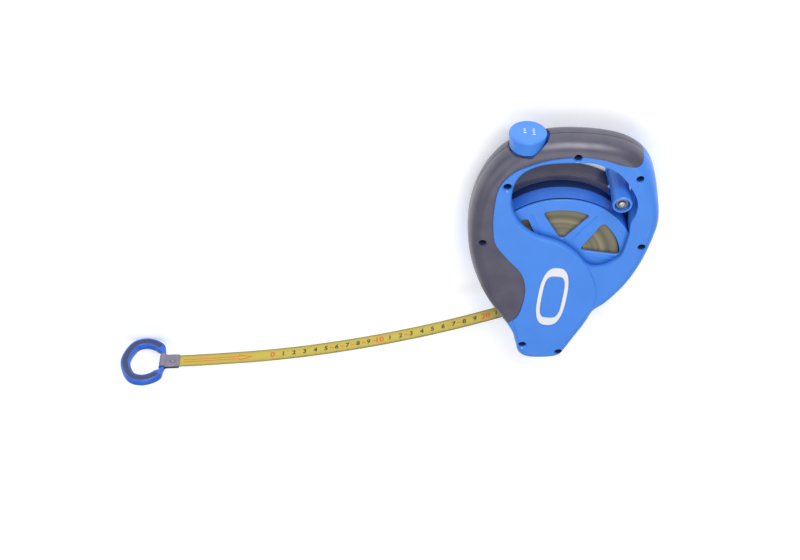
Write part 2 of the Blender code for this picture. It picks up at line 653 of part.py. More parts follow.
# --- lock button and brake ----------------------------------------------------------
def lock():
    body = [(0, BUTTON_TOP), (13.6, BUTTON_TOP), (14.8, BUTTON_TOP - 0.5), (15.3, BUTTON_TOP - 1.6),
            (14.3, BUTTON_BASE), (9.0, BUTTON_BASE), (9.0, 124.0), (0, 124.0)]
    button = turned("lock_button", body, steps=36)
    button.rotation_euler = (math.radians(-90), 0.0, 0.0)
    button.location = (BUTTON_X * MM, 0.0, BUTTON_Z * MM)
    cut(button, cylinder("stem_socket", 2.3, (STEM_X, 110, STEM_Z), (STEM_X, 118.3, STEM_Z), sides=20))
    finish(button, BLUE)
    finish(cylinder("button_stem", 2.0, (STEM_X, 100.8, STEM_Z), (STEM_X, 118.0, STEM_Z), PARTS,
                    sides=20), STEEL)

    turns, radius, low, high = 4, 6.2, 112.6, 121.0
    coil = bpy.data.curves.new("lock_spring", "CURVE")
    coil.dimensions = "3D"
    coil.bevel_depth = 0.5 * MM
    coil.bevel_resolution = 0
    coil.use_fill_caps = True
    line = coil.splines.new("POLY")
    count = turns * 9 + 1
    line.points.add(count - 1)
    for k in range(count):
        angle = 2 * math.pi * k / 9
        height = low + (high - low) * k / (count - 1)
        line.points[k].co = ((BUTTON_X + radius * math.cos(angle)) * MM, height * MM,
                             (BUTTON_Z + radius * math.sin(angle)) * MM, 1.0)
    finish_curve(link("lock_spring", coil, PARTS), STEEL)

    path = [(-61.5, 39.6), BRAKE_PIVOT, (-55.5, 88.0), (-45.0, 98.3)]
    low, high = 30.2, 35.2
    lever = None
    for number, (a, b) in enumerate(zip(path[:-1], path[1:])):
        run = Vector(b) - Vector(a)
        along = run.normalized() * 2.2
        across = Vector((-along.y, along.x))
        ends = []
        for centre, start in ((Vector(b), -90), (Vector(a), 90)):
            for step in range(7):
                angle = math.radians(start + 30 * step)
                ends.append(tuple(centre + along * math.cos(angle) + across * math.sin(angle)))
        piece = prism("brake_lever" if lever is None else f"lever_leg_{number}", np.array(ends),
                      low, high, PARTS if lever is None else CUTTERS)
        lever = join(lever, piece) if lever else piece
    join(lever, cylinder("lever_eye", 3.6, (*BRAKE_PIVOT, low + 0.2), (*BRAKE_PIVOT, high + 1.2),
                         sides=28))
    cut(lever, cylinder("lever_bore", 1.8, (*BRAKE_PIVOT, 28), (*BRAKE_PIVOT, 39), sides=20))
    finish(lever, STEEL)
    finish(cylinder("brake_pivot_pin", 1.5, (*BRAKE_PIVOT, 18.0), (*BRAKE_PIVOT, 39.5), PARTS,
                    sides=20), STEEL)
    pad = block("brake_pad", (8.0, 7.4, 2.0), polar(68.0, BRAKE_PAD_ANGLE, high + GAP + 1.0), PARTS,
                angle=BRAKE_PAD_ANGLE)
    cut(pad, cylinder("pad_face", FLANGE_R + GAP, (0, 0, 34), (0, 0, 40), sides=96))
    finish(pad, FELT)


def finish_curve(curve, surface):
    """Turns a curve object into a mesh object of the same name."""
    graph = bpy.context.evaluated_depsgraph_get()
    mesh = bpy.data.meshes.new_from_object(curve.evaluated_get(graph))
    name, place = curve.name, curve.matrix_world.copy()
    bpy.data.objects.remove(curve, do_unlink=True)
    shape = bmesh.new()
    shape.from_mesh(mesh)
    bmesh.ops.remove_doubles(shape, verts=shape.verts, dist=0.000001)
    bmesh.ops.recalc_face_normals(shape, faces=shape.faces)
    shape.to_mesh(mesh)
    shape.free()
    solid = link(name, mesh, PARTS)
    solid.matrix_world = place
    return finish(solid, surface)


# --- tape, mouth, clip and ring -----------------------------------------------------
def ribbon(name, route, collection=PARTS):
    """The tape, standing on edge along a flat route."""
    route = np.array(route)
    along = np.gradient(route, axis=0)
    along /= np.linalg.norm(along, axis=1)[:, None]
    across = np.stack([-along[:, 1], along[:, 0]], 1) * TAPE_THICK / 2
    loop = np.vstack([route + across, (route - across)[::-1]])
    return prism(name, loop, MID - TAPE_WIDTH / 2, MID + TAPE_WIDTH / 2, collection)


def mouth_point(distance, side=0.0):
    """A point distance inwards from the mouth and side across the tape."""
    run = Vector((math.cos(MOUTH_ANGLE), math.sin(MOUTH_ANGLE)))
    point = Vector(MOUTH) + run * distance + Vector((-run.y, run.x)) * side
    return tuple(point)


def tape():
    inner_radius = TAPE_ROLL_R + 0.6
    inner_start = Vector(mouth_point(0.2))
    toward = math.atan2(-inner_start.y, -inner_start.x)
    tangent = toward - math.asin(inner_radius / inner_start.length)
    length = math.sqrt(inner_start.length ** 2 - inner_radius ** 2)
    inner_end = inner_start + Vector(polar(length, tangent))
    finish(ribbon("tape_run_inside", [tuple(inner_start), tuple(inner_start.lerp(inner_end, 0.5)),
                                      tuple(inner_end)]), YELLOW)
    finish(ribbon("tape_blade", spline(TAPE_ROUTE, 40, closed=False)), YELLOW)

    liner = block("mouth_liner", (9.0, 4.4, 15.6), (*mouth_point(3.6), MID), PARTS, MOUTH_ANGLE)
    cut(liner, block("liner_slot", (12.0, 2.6, 14.8), (*mouth_point(3.6), MID), angle=MOUTH_ANGLE))
    finish(liner, CLIP_METAL)
    for word, side in (("upper", 1), ("lower", -1)):
        finish(block(f"wiper_{word}", (3.0, 0.9, 14.4), (*mouth_point(10.4, side * 1.25), MID),
                     PARTS, MOUTH_ANGLE), FELT)


def end_fittings():
    bar = Vector(RING_BAR)
    end = Vector(TAPE_ROUTE[-1])
    run = (Vector((-337.0, -138.35)) - bar).normalized()
    angle = math.atan2(run.y, run.x)
    length = 15.6
    clip = block("end_clip", (length, 2.8, 15.4), (*(bar + run * (length / 2)), MID), PARTS, angle)
    join(clip, cylinder("clip_loop", 3.4, (*bar, MID - 7.7), (*bar, MID + 7.7), sides=32))
    slot_start, slot_end = 4.4, length + 2.0
    cut(clip, cylinder("bar_bore", RING_BAR_R + GAP, (*bar, MID - 9), (*bar, MID + 9), sides=28),
        block("clip_slot", (slot_end - slot_start, 1.1, 18),
              (*(bar + run * (slot_start + slot_end) / 2), MID), angle=angle))
    rivet_at = bar + run * 9.0
    side = Vector((-run.y, run.x))
    cut(clip, cylinder("rivet_bore", 1.5, (*(rivet_at - side * 4), MID), (*(rivet_at + side * 4), MID),
                       sides=20))
    finish(clip, CLIP_METAL)
    rivet = cylinder("clip_rivet", 1.2, (*(rivet_at - side * 1.6), MID), (*(rivet_at + side * 1.75), MID),
                     PARTS, sides=20)
    join(rivet, cylinder("rivet_head", 2.4, (*(rivet_at + side * 1.7), MID),
                         (*(rivet_at + side * 2.3), MID), sides=24, end_radius=1.8))
    finish(rivet, CLIP_METAL)

    centre_line = spline([(0, -8.4), (0, -4), (0, 4), (0, 8.4), (-0.8, 12), (-6, 19), (-17, 23),
                          (-28, 18.2), (-34.3, 0), (-28, -18.2), (-17, -23), (-6, -19),
                          (-0.8, -12)], 40, closed=True)
    shape = bmesh.new()
    normals = outward(centre_line)
    rings = []
    for (x, z), (nx, nz) in zip(centre_line, normals):
        away = smooth_step(math.hypot(x, max(abs(z) - 8.6, 0.0)), 1.5, 9.0)
        wide = RING_BAR_R + (4.5 - RING_BAR_R) * away
        thick = RING_BAR_R + (4.6 - RING_BAR_R) * away
        ring = []
        for k in range(10):
            turn = 2 * math.pi * k / 10
            ring.append(shape.verts.new((bar.x + x + nx * wide * math.cos(turn),
                                         bar.y + thick * math.sin(turn),
                                         MID + z + nz * wide * math.cos(turn))))
        rings.append(ring)
    for a, b in zip(rings, rings[1:] + rings[:1]):
        for k in range(10):
            shape.faces.new((a[k], a[(k + 1) % 10], b[(k + 1) % 10], b[k]))
    finish(from_bmesh("end_ring", shape, PARTS), BLUE)


# --- build --------------------------------------------------------------------------
front_side()
rear_side()
shell_screws()
badge()
reel()
crank()
lock()
tape()
end_fittings()

reel_frame = bpy.data.objects.new("reel_frame", None)
PARTS.objects.link(reel_frame)
reel_frame.location = (REEL_AXIS[0] * MM, REEL_AXIS[1] * MM, 0.0)
for item in list(PARTS.objects) + list(CUTTERS.objects):
    if item is not reel_frame:
        item.parent = reel_frame
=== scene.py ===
"""Looks of the surveyor tape reel: moulded plastic, rubber grip, printed blade and studio.

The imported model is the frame.  Shapes are drawn in millimetres from the reel's axle, as on a
workshop drawing, and placed by AXLE, which is read from the frame.
"""

import json
import math

import bmesh
import bpy
import numpy as np
from mathutils import Matrix, Vector, noise


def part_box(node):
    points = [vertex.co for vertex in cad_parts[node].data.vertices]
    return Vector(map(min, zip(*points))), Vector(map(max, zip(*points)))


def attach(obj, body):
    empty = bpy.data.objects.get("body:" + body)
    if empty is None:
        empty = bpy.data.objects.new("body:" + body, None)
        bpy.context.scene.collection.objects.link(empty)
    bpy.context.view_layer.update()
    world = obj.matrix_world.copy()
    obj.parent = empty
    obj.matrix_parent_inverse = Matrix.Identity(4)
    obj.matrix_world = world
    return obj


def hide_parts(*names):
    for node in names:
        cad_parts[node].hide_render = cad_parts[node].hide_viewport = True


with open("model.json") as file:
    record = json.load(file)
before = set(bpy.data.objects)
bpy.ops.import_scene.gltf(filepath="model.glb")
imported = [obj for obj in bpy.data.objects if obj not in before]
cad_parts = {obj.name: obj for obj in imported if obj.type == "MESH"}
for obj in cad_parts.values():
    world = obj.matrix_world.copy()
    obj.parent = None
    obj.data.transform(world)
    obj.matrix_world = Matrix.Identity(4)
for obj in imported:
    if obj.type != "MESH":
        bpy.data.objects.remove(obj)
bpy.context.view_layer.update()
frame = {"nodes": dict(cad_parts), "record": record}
MM = 0.001


def middle(node):
    low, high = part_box(node)
    return (low + high) / 2


def height(node, top=True):
    """Highest or lowest height of a node, in millimetres."""
    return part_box(node)[1 if top else 0].z / MM


# --- driving dimensions, millimetres from the axle ---
AXLE = Vector((middle("reel_axle").x, middle("reel_axle").y, 0.0))
MID = middle("tape_blade").z / MM
HALF = 16.0
FRONT = MID + HALF
BACK = MID - HALF
SEAM = 0.15                     # half the gap between the two shells
GAP = 0.3
GRIP_SKIN = 2.4
WALL = 5.2
FACE_INNER = 41.0
BUSH_SEAT_R = 6.3
SCREW_FLOOR = 35.6              # where the screw wells end
CHAMBER_R = 66.0
CHAMBER_FLOOR = 10.0
DRUM_R = 71.0
DRUM_FLOOR = 7.0
DRUM_TOP = 14.0
HOLE_FLOOR_R = 60.0             # the finger hole's floor above the drum wall
HOLE_ROUND = 7.5                # rounding of its handle side
WINDOW_R = 52.5
WINDOW_COUNT = 6
WINDOW_FIRST = 25.0
AXLE_R = 4.0
CORE_R = 18.3
TAPE_ROLL_R = 52.0
TAPE_WIDTH = 14.2
TAPE_THICK = 0.4
CRANK_ANGLE = math.atan2(67.5, 47.2)
CRANK_REACH = 82.4
CRANK_HINGE = 12.0
CRANK_HINGE_Z = 2.4
CRANK_GRIP_R = 8.2
CRANK_GRIP_Z = (height("crank_grip", top=False), height("crank_grip"))
BUTTON_X = -32.0
BUTTON_Z = 28.5
BUTTON_BASE = 114.0
BUTTON_TOP = 128.0
STEM_X, STEM_Z = -43.5, 31.0
SCREWS = [(-65, 22), (-47, 83), (8, 113), (60, 91), (69, 17), (-25, -100), (8, -109.5)]
MOUTH = (-42.5, -73.8)
MOUTH_ANGLE = math.radians(20.0)
RING_BAR = (-352.5, -139.2)
RING_BAR_R = 2.2
BADGE_CENTRE = (-2.5, -39.5)
BADGE_LEAN = 4.5
PLATE_POWER = 2.7               # 2 is an ellipse, higher is squarer
FIELD_POWER = 3.6

BODY_OUTLINE = [
    (4, 126.6), (30, 124.3), (50, 118), (64, 107), (72, 92), (77.5, 69), (80.8, 44),
    (78.5, 24), (71.5, -4), (61, -29), (47, -50), (36.5, -60.5), (31.5, -71), (22, -90),
    (14, -107), (8.5, -115.5), (-2, -118.2), (-19, -117.6), (-27.5, -112), (-31, -100),
    (-34, -88), (-39.5, -77), (-47.5, -65), (-57, -49), (-66, -31), (-72.5, -10),
    (-76.4, 14), (-77, 40), (-73.5, 66), (-65, 90), (-52, 109), (-34, 120.5), (-16, 125.2),
]
OPENING = [
    (-43, 70), (-41.5, 84), (-36, 95.5), (-26, 103), (-14, 106.5), (4, 107.5), (20, 107),
    (31, 103), (41, 97.5), (48, 90), (53, 82), (57.5, 74), (60.5, 64), (60, 53), (57, 44),
    (57, 32), (55.5, 20), (52.5, 7), (46, 0), (38, -5), (30, -6), (23.5, -2), (17, 7),
    (9, 15), (1, 21), (-8, 25), (-20, 30), (-30, 38), (-38, 49), (-42, 60),
]
GRIP_BORDER = [
    (62, 109), (60.5, 105), (55, 103), (42, 106), (28, 111), (9, 113.6), (-13, 111.3),
    (-30, 105.2), (-44, 97), (-54, 82), (-57, 60), (-57, 40), (-54, 21), (-43, 4),
    (-31, -12), (-26.5, -30), (-27.5, -48), (-31, -63), (-37, -71),
]
GRIP_OUTSIDE = [(-60, -92), (-130, -70), (-130, 170), (110, 170), (110, 116), (80, 113)]
REAR_GRIP_INNER = [(62, 109), (60, 104), (52, 100), (44, 92), (30, 84), (0, 84), (-36, 76)]
HAND_HOLE_TOP = [
    (-43, 66, 0), (-42, 78, 0.2), (-37, 88, 0.7), (-27, 94, 1), (-12, 97, 1), (8, 98, 1),
    (26, 96, 1), (38, 91.5, 0.7), (48, 86, 0.3), (56, 78, 0), (60, 66, 0), (59, 50, 0),
]
COVER_LOBE = [
    (6, 104), (-14, 103), (-26, 99), (-35, 92), (-38, 82), (-39, 70), (-38, 60), (-34, 50),
    (-26, 41), (-16, 34), (-4, 29), (6, 24), (14, 15), (21, 3), (28, -11), (34, -27),
    (35.5, -42), (33, -57), (27, -68), (20, -84), (12, -101), (4, -111), (-8, -114), (-20, -112),
    (-27, -103), (-30, -88), (-34, -74), (-38, -58), (-36, -36), (-38, -14), (-50, 4), (-60, 22),
    (-64, 44), (-61, 66), (-57, 86), (-47, 101), (-32, 109), (-13, 114.5), (5, 116.5), (9, 111),
]
TAPE_ROUTE = [
    (-43.6, -74.2), (-57, -79.4), (-80, -87.9), (-107, -97), (-130, -103.9), (-152, -110),
    (-175, -115.7), (-198, -120.8), (-225, -126), (-251, -130), (-270, -132.4),
    (-290, -134.4), (-315, -136.7), (-339.5, -138.5),
]


# --- outlines ---
def spline(points, count, closed):
    """Points spaced evenly along a Catmull-Rom curve through the given ones."""
    pts = np.array(points, dtype=float)
    if closed:
        pts = np.vstack([pts[-1], pts, pts[0], pts[1]])
    else:
        pts = np.vstack([2 * pts[0] - pts[1], pts, 2 * pts[-1] - pts[-2]])
    fine = []
    for a, b, c, d in zip(pts[:-3], pts[1:-2], pts[2:-1], pts[3:]):
        for t in np.linspace(0.0, 1.0, 16, endpoint=False):
            fine.append(0.5 * (2 * b + (c - a) * t + (2 * a - 5 * b + 4 * c - d) * t * t
                               + (3 * b - a - 3 * c + d) * t ** 3))
    fine.append(pts[1] if closed else pts[-2])
    fine = np.array(fine)
    run = np.concatenate([[0.0], np.cumsum(np.linalg.norm(np.diff(fine, axis=0), axis=1))])
    at = np.linspace(0.0, run[-1], count, endpoint=not closed)
    return np.stack([np.interp(at, run, fine[:, k]) for k in range(fine.shape[1])], axis=1)


def outward(loop):
    """Unit normals pointing out of a closed loop, whichever way it runs."""
    along = np.roll(loop, -1, axis=0) - np.roll(loop, 1, axis=0)
    turn = np.stack([along[:, 1], -along[:, 0]], axis=1)
    turn /= np.linalg.norm(turn, axis=1)[:, None]
    x, y = loop[:, 0], loop[:, 1]
    area = np.sum(x * np.roll(y, -1) - np.roll(x, -1) * y)
    return turn if area > 0 else -turn


def grown(loop, distance):
    return loop + outward(loop) * np.reshape(distance, (-1, 1))


def filleted(corners, radii, steps=5):
    """A polygon whose corners are rounded by arcs of the given radii."""
    corners = [Vector(c) for c in corners]
    loop = []
    for k, corner in enumerate(corners):
        radius = radii[k]
        if radius <= 0.0:
            loop.append(tuple(corner))
            continue
        before = (corners[k - 1] - corner).normalized()
        after = (corners[(k + 1) % len(corners)] - corner).normalized()
        half = math.acos(max(-1.0, min(1.0, before.dot(after)))) / 2
        pivot = corner + (before + after).normalized() * (radius / math.sin(half))
        start = corner + before * (radius / math.tan(half)) - pivot
        sweep = start.angle_signed(corner + after * (radius / math.tan(half)) - pivot)
        for step in range(steps + 1):
            turned = start.copy()
            turned.rotate(Matrix.Rotation(-sweep * step / steps, 2))
            loop.append(tuple(pivot + turned))
    return np.array(loop)


def polar(radius, angle, z=None):
    flat = (radius * math.cos(angle), radius * math.sin(angle))
    return flat if z is None else (*flat, z)


def around(radius, count):
    """Points spaced evenly on a circle."""
    return [polar(radius, 2 * math.pi * k / count) for k in range(count)]


def arc(radius, start, end, steps=24):
    """Points on a circle from one angle to another, in degrees."""
    return [polar(radius, math.radians(start + (end - start) * k / steps))
            for k in range(steps + 1)]


def quarter(steps):
    """A rounded edge of radius 1 as (tuck, rise) pairs, from its foot to its top."""
    turns = [math.radians(90.0 * step / steps) for step in range(steps + 1)]
    return [(1 - math.cos(turn), math.sin(turn)) for turn in turns]


def oval(length, width, power):
    """An outline of the badge, which stands along Y and leans clockwise."""
    loop = np.array([(width / 2 * math.copysign(abs(a) ** (2 / power), a),
                      length / 2 * math.copysign(abs(b) ** (2 / power), b))
                     for a, b in around(1.0, 96)])
    turn = math.radians(-BADGE_LEAN)
    spun = np.stack([loop[:, 0] * math.cos(turn) - loop[:, 1] * math.sin(turn),
                     loop[:, 0] * math.sin(turn) + loop[:, 1] * math.cos(turn)], 1)
    return spun + np.array(BADGE_CENTRE)


def smooth_step(value, low, high):
    t = np.clip((value - low) / (high - low), 0.0, 1.0)
    return t * t * (3 - 2 * t)


# --- solids ---
TOOLS = []


def solid(name, shape):
    """Places a shape drawn in millimetres from the axle; it is a tool until it is made a piece."""
    bmesh.ops.recalc_face_normals(shape, faces=shape.faces)
    shape.transform(Matrix.Translation(AXLE) @ Matrix.Scale(MM, 4))
    mesh = bpy.data.meshes.new(name)
    shape.to_mesh(mesh)
    shape.free()
    made = bpy.data.objects.new(name, mesh)
    bpy.context.scene.collection.objects.link(made)
    TOOLS.append(made)
    return made


def skinned(name, rings, closed=False):
    """A solid through rings of 3-D points; the end rings are capped unless it closes on itself."""
    shape = bmesh.new()
    rows = [[shape.verts.new(point) for point in ring] for ring in rings]
    following = rows[1:] + rows[:1] if closed else rows[1:]
    for low, high in zip(rows, following):
        count = max(len(low), len(high))
        for k in range(count):
            corners = [low[k % len(low)], low[(k + 1) % len(low)],
                       high[(k + 1) % len(high)], high[k % len(high)]]
            shape.faces.new(list(dict.fromkeys(corners)))
    if not closed:
        for row in (rows[0], rows[-1]):
            if len(row) > 2:
                shape.faces.new(row)
    return solid(name, shape)


def loft(name, sections):
    rings = []
    for loop, level in sections:
        levels = np.broadcast_to(level, (len(loop),))
        rings.append([(x, y, z) for (x, y), z in zip(loop, levels)])
    return skinned(name, rings)


def prism(name, loop, low, high):
    return loft(name, [(loop, low), (loop, high)])


def cylinder(name, radius, start, end, sides=64):
    start, end = Vector(start), Vector(end)
    turn = Vector((0, 0, 1)).rotation_difference(end - start)
    rings = []
    for centre in (start, end):
        rings.append([centre + turn @ Vector((*point, 0.0)) for point in around(radius, sides)])
    return skinned(name, rings)


def block(name, size, centre, angle=0.0):
    turn = Matrix.Rotation(angle, 3, "Z")
    x, y, z = (half / 2 for half in size)
    rings = [[Vector(centre) + turn @ Vector((a * x, b * y, c * z))
              for a, b in ((-1, -1), (1, -1), (1, 1), (-1, 1))] for c in (-1, 1)]
    return skinned(name, rings)


def lathe(name, profile, centre=(0.0, 0.0), steps=128):
    """Spins a (radius, height) profile about a vertical axis."""
    rings = []
    for radius, level in profile:
        if radius < 1e-6:
            rings.append([(centre[0], centre[1], level)])
        else:
            rings.append([(centre[0] + x, centre[1] + y, level)
                          for x, y in around(radius, steps)])
    return skinned(name, rings, closed=min(radius for radius, _ in profile) > 1e-6)


def tube_profile(inner, outer, low, high, ease):
    """The outline of a washer or sleeve whose edges are rounded by ease."""
    corners = [(inner, high), (outer, high), (outer, low), (inner, low)]
    return filleted(corners, [ease] * 4, steps=3)


def combine(target, operation, others):
    for other in others:
        step = target.modifiers.new(operation, "BOOLEAN")
        step.operation = operation
        step.solver = "MANIFOLD"
        step.object = other
    return target


def cut(target, *others):
    return combine(target, "DIFFERENCE", others)


def join(target, *others):
    return combine(target, "UNION", others)


def keep(target, other):
    return combine(target, "INTERSECT", [other])


def settle(target):
    """Applies a piece's modifiers."""
    graph = bpy.context.evaluated_depsgraph_get()
    mesh = bpy.data.meshes.new_from_object(target.evaluated_get(graph))
    target.modifiers.clear()
    target.data = mesh
    return target


def piece(target, body, surface, replaced=(), sharp=35.0):
    """Finishes a solid as a visible piece that rides on a body."""
    settle(target)
    TOOLS.remove(target)
    target.data.materials.clear()
    target.data.materials.append(surface)
    target.data.shade_smooth()
    target.data.set_sharp_from_angle(angle=math.radians(sharp))
    even = target.modifiers.new("even_shading", "WEIGHTED_NORMAL")
    even.keep_sharp = True
    even.weight = 80
    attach(target, body)
    if replaced:
        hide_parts(*replaced)
    return target


# --- materials ---
class Shader:
    """A small helper that builds a node material around a Principled shader."""

    def __init__(self, name, colour, roughness, metallic=0.0, coat=0.0, specular=0.5):
        self.made = bpy.data.materials.new(name)
        self.made.use_nodes = True
        self.tree = self.made.node_tree
        self.shader = self.tree.nodes["Principled BSDF"]
        self.put(self.shader, "Base Color", (*colour, 1.0))
        self.put(self.shader, "Roughness", roughness)
        self.put(self.shader, "Metallic", metallic)
        self.put(self.shader, "Coat Weight", coat)
        self.put(self.shader, "Coat Roughness", 0.18)
        self.put(self.shader, "Specular IOR Level", specular)
        self.place = self.tree.nodes.new("ShaderNodeTexCoord").outputs["Object"]

    def put(self, node, socket, value):
        if isinstance(value, bpy.types.NodeSocket):
            self.tree.links.new(value, node.inputs[socket])
        else:
            node.inputs[socket].default_value = value

    def node(self, kind, inputs=(), **settings):
        made = self.tree.nodes.new(kind)
        for key, value in settings.items():
            setattr(made, key, value)
        for socket, value in dict(inputs).items():
            self.put(made, socket, value)
        return made

    def noise(self, scale, detail=3.0, place=None):
        return self.node("ShaderNodeTexNoise", {"Vector": place or self.place, "Scale": scale,
                                                "Detail": detail}).outputs["Fac"]

    def maths(self, operation, *values):
        made = self.node("ShaderNodeMath", operation=operation)
        for k, value in enumerate(values):
            self.put(made, k, value)
        return made.outputs[0]

    def ramp(self, factor, stops):
        made = self.node("ShaderNodeValToRGB", {"Fac": factor})
        points = made.color_ramp.elements
        while len(points) < len(stops):
            points.new(0.5)
        for point, (position, colour) in zip(points, stops):
            point.position = position
            point.color = (*colour, 1.0)
        return made.outputs["Color"]

    def spread(self, factor, low, high):
        made = self.node("ShaderNodeMapRange", {"Value": factor, "To Min": low, "To Max": high})
        return made.outputs["Result"]

    def bump(self, heights, distance, strength=1.0):
        made = self.node("ShaderNodeBump", {"Height": heights, "Distance": distance,
                                            "Strength": strength})
        self.put(self.shader, "Normal", made.outputs["Normal"])

    def colour(self, value):
        self.put(self.shader, "Base Color", value)

    def rough(self, value):
        self.put(self.shader, "Roughness", value)


def mixed(colour, other, share):
    return tuple(a + (b - a) * share for a, b in zip(colour, other))


def moulded(name, colour, roughness=0.36, grain=1100.0, relief=0.000012):
    """Injection-moulded plastic: fine spark-eroded grain, faint flow clouds, light scuffs."""
    made = Shader(name, colour, roughness, coat=0.12)
    clouds = made.noise(38.0, 2.0)
    made.colour(made.ramp(clouds, [(0.3, mixed(colour, (0, 0, 0), 0.07)), (0.7, colour)]))
    made.rough(made.spread(made.noise(210.0, 4.0), roughness - 0.06, roughness + 0.09))
    made.bump(made.noise(grain * 2.2, 2.0), relief)
    return made.made


def rubber():
    base = (0.060, 0.055, 0.092)
    made = Shader("grey_rubber", base, 0.34, specular=0.75)
    dust = made.noise(46.0, 4.0)
    made.colour(made.ramp(dust, [(0.25, mixed(base, (0, 0, 0), 0.14)),
                                 (0.75, mixed(base, (0.3, 0.28, 0.33), 0.12))]))
    made.rough(made.spread(made.noise(160.0, 3.0), 0.29, 0.41))
    made.put(made.shader, "Sheen Weight", 0.1)
    made.put(made.shader, "Sheen Roughness", 0.45)
    cells = made.node("ShaderNodeTexVoronoi", {"Vector": made.place, "Scale": 1500.0})
    made.bump(cells.outputs["Distance"], 0.00003, 0.6)
    return made.made


def metal(name, colour, roughness, scratches=900.0):
    made = Shader(name, colour, roughness, metallic=1.0)
    stretched = made.node("ShaderNodeMapping", {"Vector": made.place, "Scale": (1.0, 1.0, 0.06)})
    lines = made.noise(scratches, 4.0, stretched.outputs["Vector"])
    made.rough(made.spread(lines, roughness - 0.08, roughness + 0.16))
    made.colour(made.ramp(made.noise(90.0, 3.0), [(0.3, mixed(colour, (0, 0, 0), 0.18)),
                                                  (0.7, colour)]))
    made.bump(lines, 0.000008, 0.5)
    return made.made


def lacquered_tape():
    """Yellow lacquer, greener and thinner at both edges of the blade."""
    made = Shader("yellow_tape", (0.60, 0.47, 0.05), 0.34, coat=0.3)
    split = made.node("ShaderNodeSeparateXYZ", {"Vector": made.place})
    off_centre = made.maths("ABSOLUTE", made.maths("SUBTRACT", split.outputs["Z"], MID * MM))
    share = made.maths("DIVIDE", off_centre, TAPE_WIDTH / 2 * MM)
    blotch = made.maths("ADD", share, made.spread(made.noise(120.0, 3.0), -0.06, 0.06))
    made.colour(made.ramp(blotch, [(0.0, (0.52, 0.41, 0.035)), (0.66, (0.46, 0.36, 0.03)),
                                   (0.86, (0.28, 0.235, 0.025)), (1.0, (0.18, 0.155, 0.02))]))
    made.rough(made.spread(made.noise(300.0, 4.0), 0.28, 0.46))
    made.bump(made.noise(700.0, 3.0), 0.00001)
    return made.made


def wound_edge():
    """The edges of the wound blade: fine turns with a few broad bands."""
    made = Shader("wound_yellow_tape", (0.3, 0.25, 0.12), 0.5)
    moved = made.node("ShaderNodeVectorMath", {0: made.place, 1: tuple(AXLE)},
                      operation="SUBTRACT")
    flat = made.node("ShaderNodeVectorMath", {0: moved.outputs["Vector"], 1: (1.0, 1.0, 0.0)},
                     operation="MULTIPLY")
    radius = made.node("ShaderNodeVectorMath", {0: flat.outputs["Vector"]}, operation="LENGTH")
    wander = made.spread(made.noise(30.0, 1.0), -0.0004, 0.0004)
    radius = made.maths("ADD", radius.outputs["Value"], wander)
    across = made.node("ShaderNodeCombineXYZ", {"X": radius})
    bands = made.noise(150.0, 2.0, across.outputs["Vector"])
    turns = made.noise(2600.0, 1.0, across.outputs["Vector"])
    both = made.maths("ADD", made.maths("MULTIPLY", bands, 0.72),
                      made.maths("MULTIPLY", turns, 0.28))
    made.colour(made.ramp(both, [(0.30, (0.075, 0.066, 0.040)), (0.46, (0.165, 0.148, 0.088)),
                                 (0.56, (0.245, 0.220, 0.130)), (0.68, (0.33, 0.28, 0.12))]))
    made.rough(made.spread(turns, 0.38, 0.62))
    made.bump(turns, 0.00008, 0.7)
    return made.made


def felt():
    made = Shader("black_felt", (0.03, 0.03, 0.035), 0.95, specular=0.2)
    made.put(made.shader, "Sheen Weight", 0.6)
    fibres = made.noise(2400.0, 5.0)
    made.colour(made.ramp(fibres, [(0.3, (0.015, 0.015, 0.018)), (0.7, (0.06, 0.06, 0.07))]))
    made.bump(fibres, 0.0002)
    return made.made


BLUE = moulded("blue_abs", (0.055, 0.245, 0.80))
# the guard band's blue is a little darker than the shell's as painted shade under the handle; its
# coarser grain and relief are the band's own texture
GUARD_BLUE_SHADED = moulded("guard_blue_painted_shade", (0.04, 0.20, 0.76), 0.4, 620.0, 0.00003)
RING_BLUE = moulded("ring_blue", (0.018, 0.115, 0.60), 0.34)
# painted shade: a dark navy that stands for the shade on the guard's foot and inside the screw
# bosses
SHADE_NAVY = moulded("painted_shade_navy", (0.02, 0.05, 0.16), 0.5)
# painted shade: a dark navy for the strips laid in the ring's channels
RING_CHANNEL_SHADE = moulded("ring_channel_painted_shade", (0.035, 0.04, 0.10), 0.5)
WHITE = moulded("badge_white", (0.82, 0.83, 0.88), 0.3)
MARK_WHITE = moulded("button_marks", (0.75, 0.82, 0.95), 0.4)
INK_BLACK = moulded("scale_black", (0.035, 0.035, 0.02), 0.45)
INK_RED = moulded("scale_red", (0.68, 0.10, 0.02), 0.45)
RUBBER = rubber()
STEEL = metal("bright_steel", (0.60, 0.60, 0.62), 0.26)
DARK_STEEL = metal("dark_steel", (0.03, 0.03, 0.04), 0.40)
DULL_STEEL = metal("dull_steel", (0.26, 0.25, 0.25), 0.42)
CLIP = metal("clip_steel", (0.30, 0.27, 0.35), 0.40)
BRONZE = metal("bearing_bronze", (0.45, 0.31, 0.14), 0.38)
TAPE = lacquered_tape()
WOUND = wound_edge()
FELT = felt()


# --- camera ---
def camera():
    """Looks down over the handle, as the photograph does."""
    eye = bpy.data.cameras.new("camera")
    eye.lens = 67.5
    eye.sensor_width = 36.0
    eye.clip_start = 0.05
    made = bpy.data.objects.new("camera", eye)
    bpy.context.scene.collection.objects.link(made)
    tilt = math.radians(43.4)
    right = Vector((1, 0, 0))
    up = Vector((0, math.cos(tilt), -math.sin(tilt)))
    turn = Matrix((right, up, right.cross(up))).transposed()
    made.matrix_world = Matrix.Translation(AXLE + Vector((-0.1343, 0.8643, 0.9797))) @ turn.to_4x4()
    bpy.context.scene.camera = made


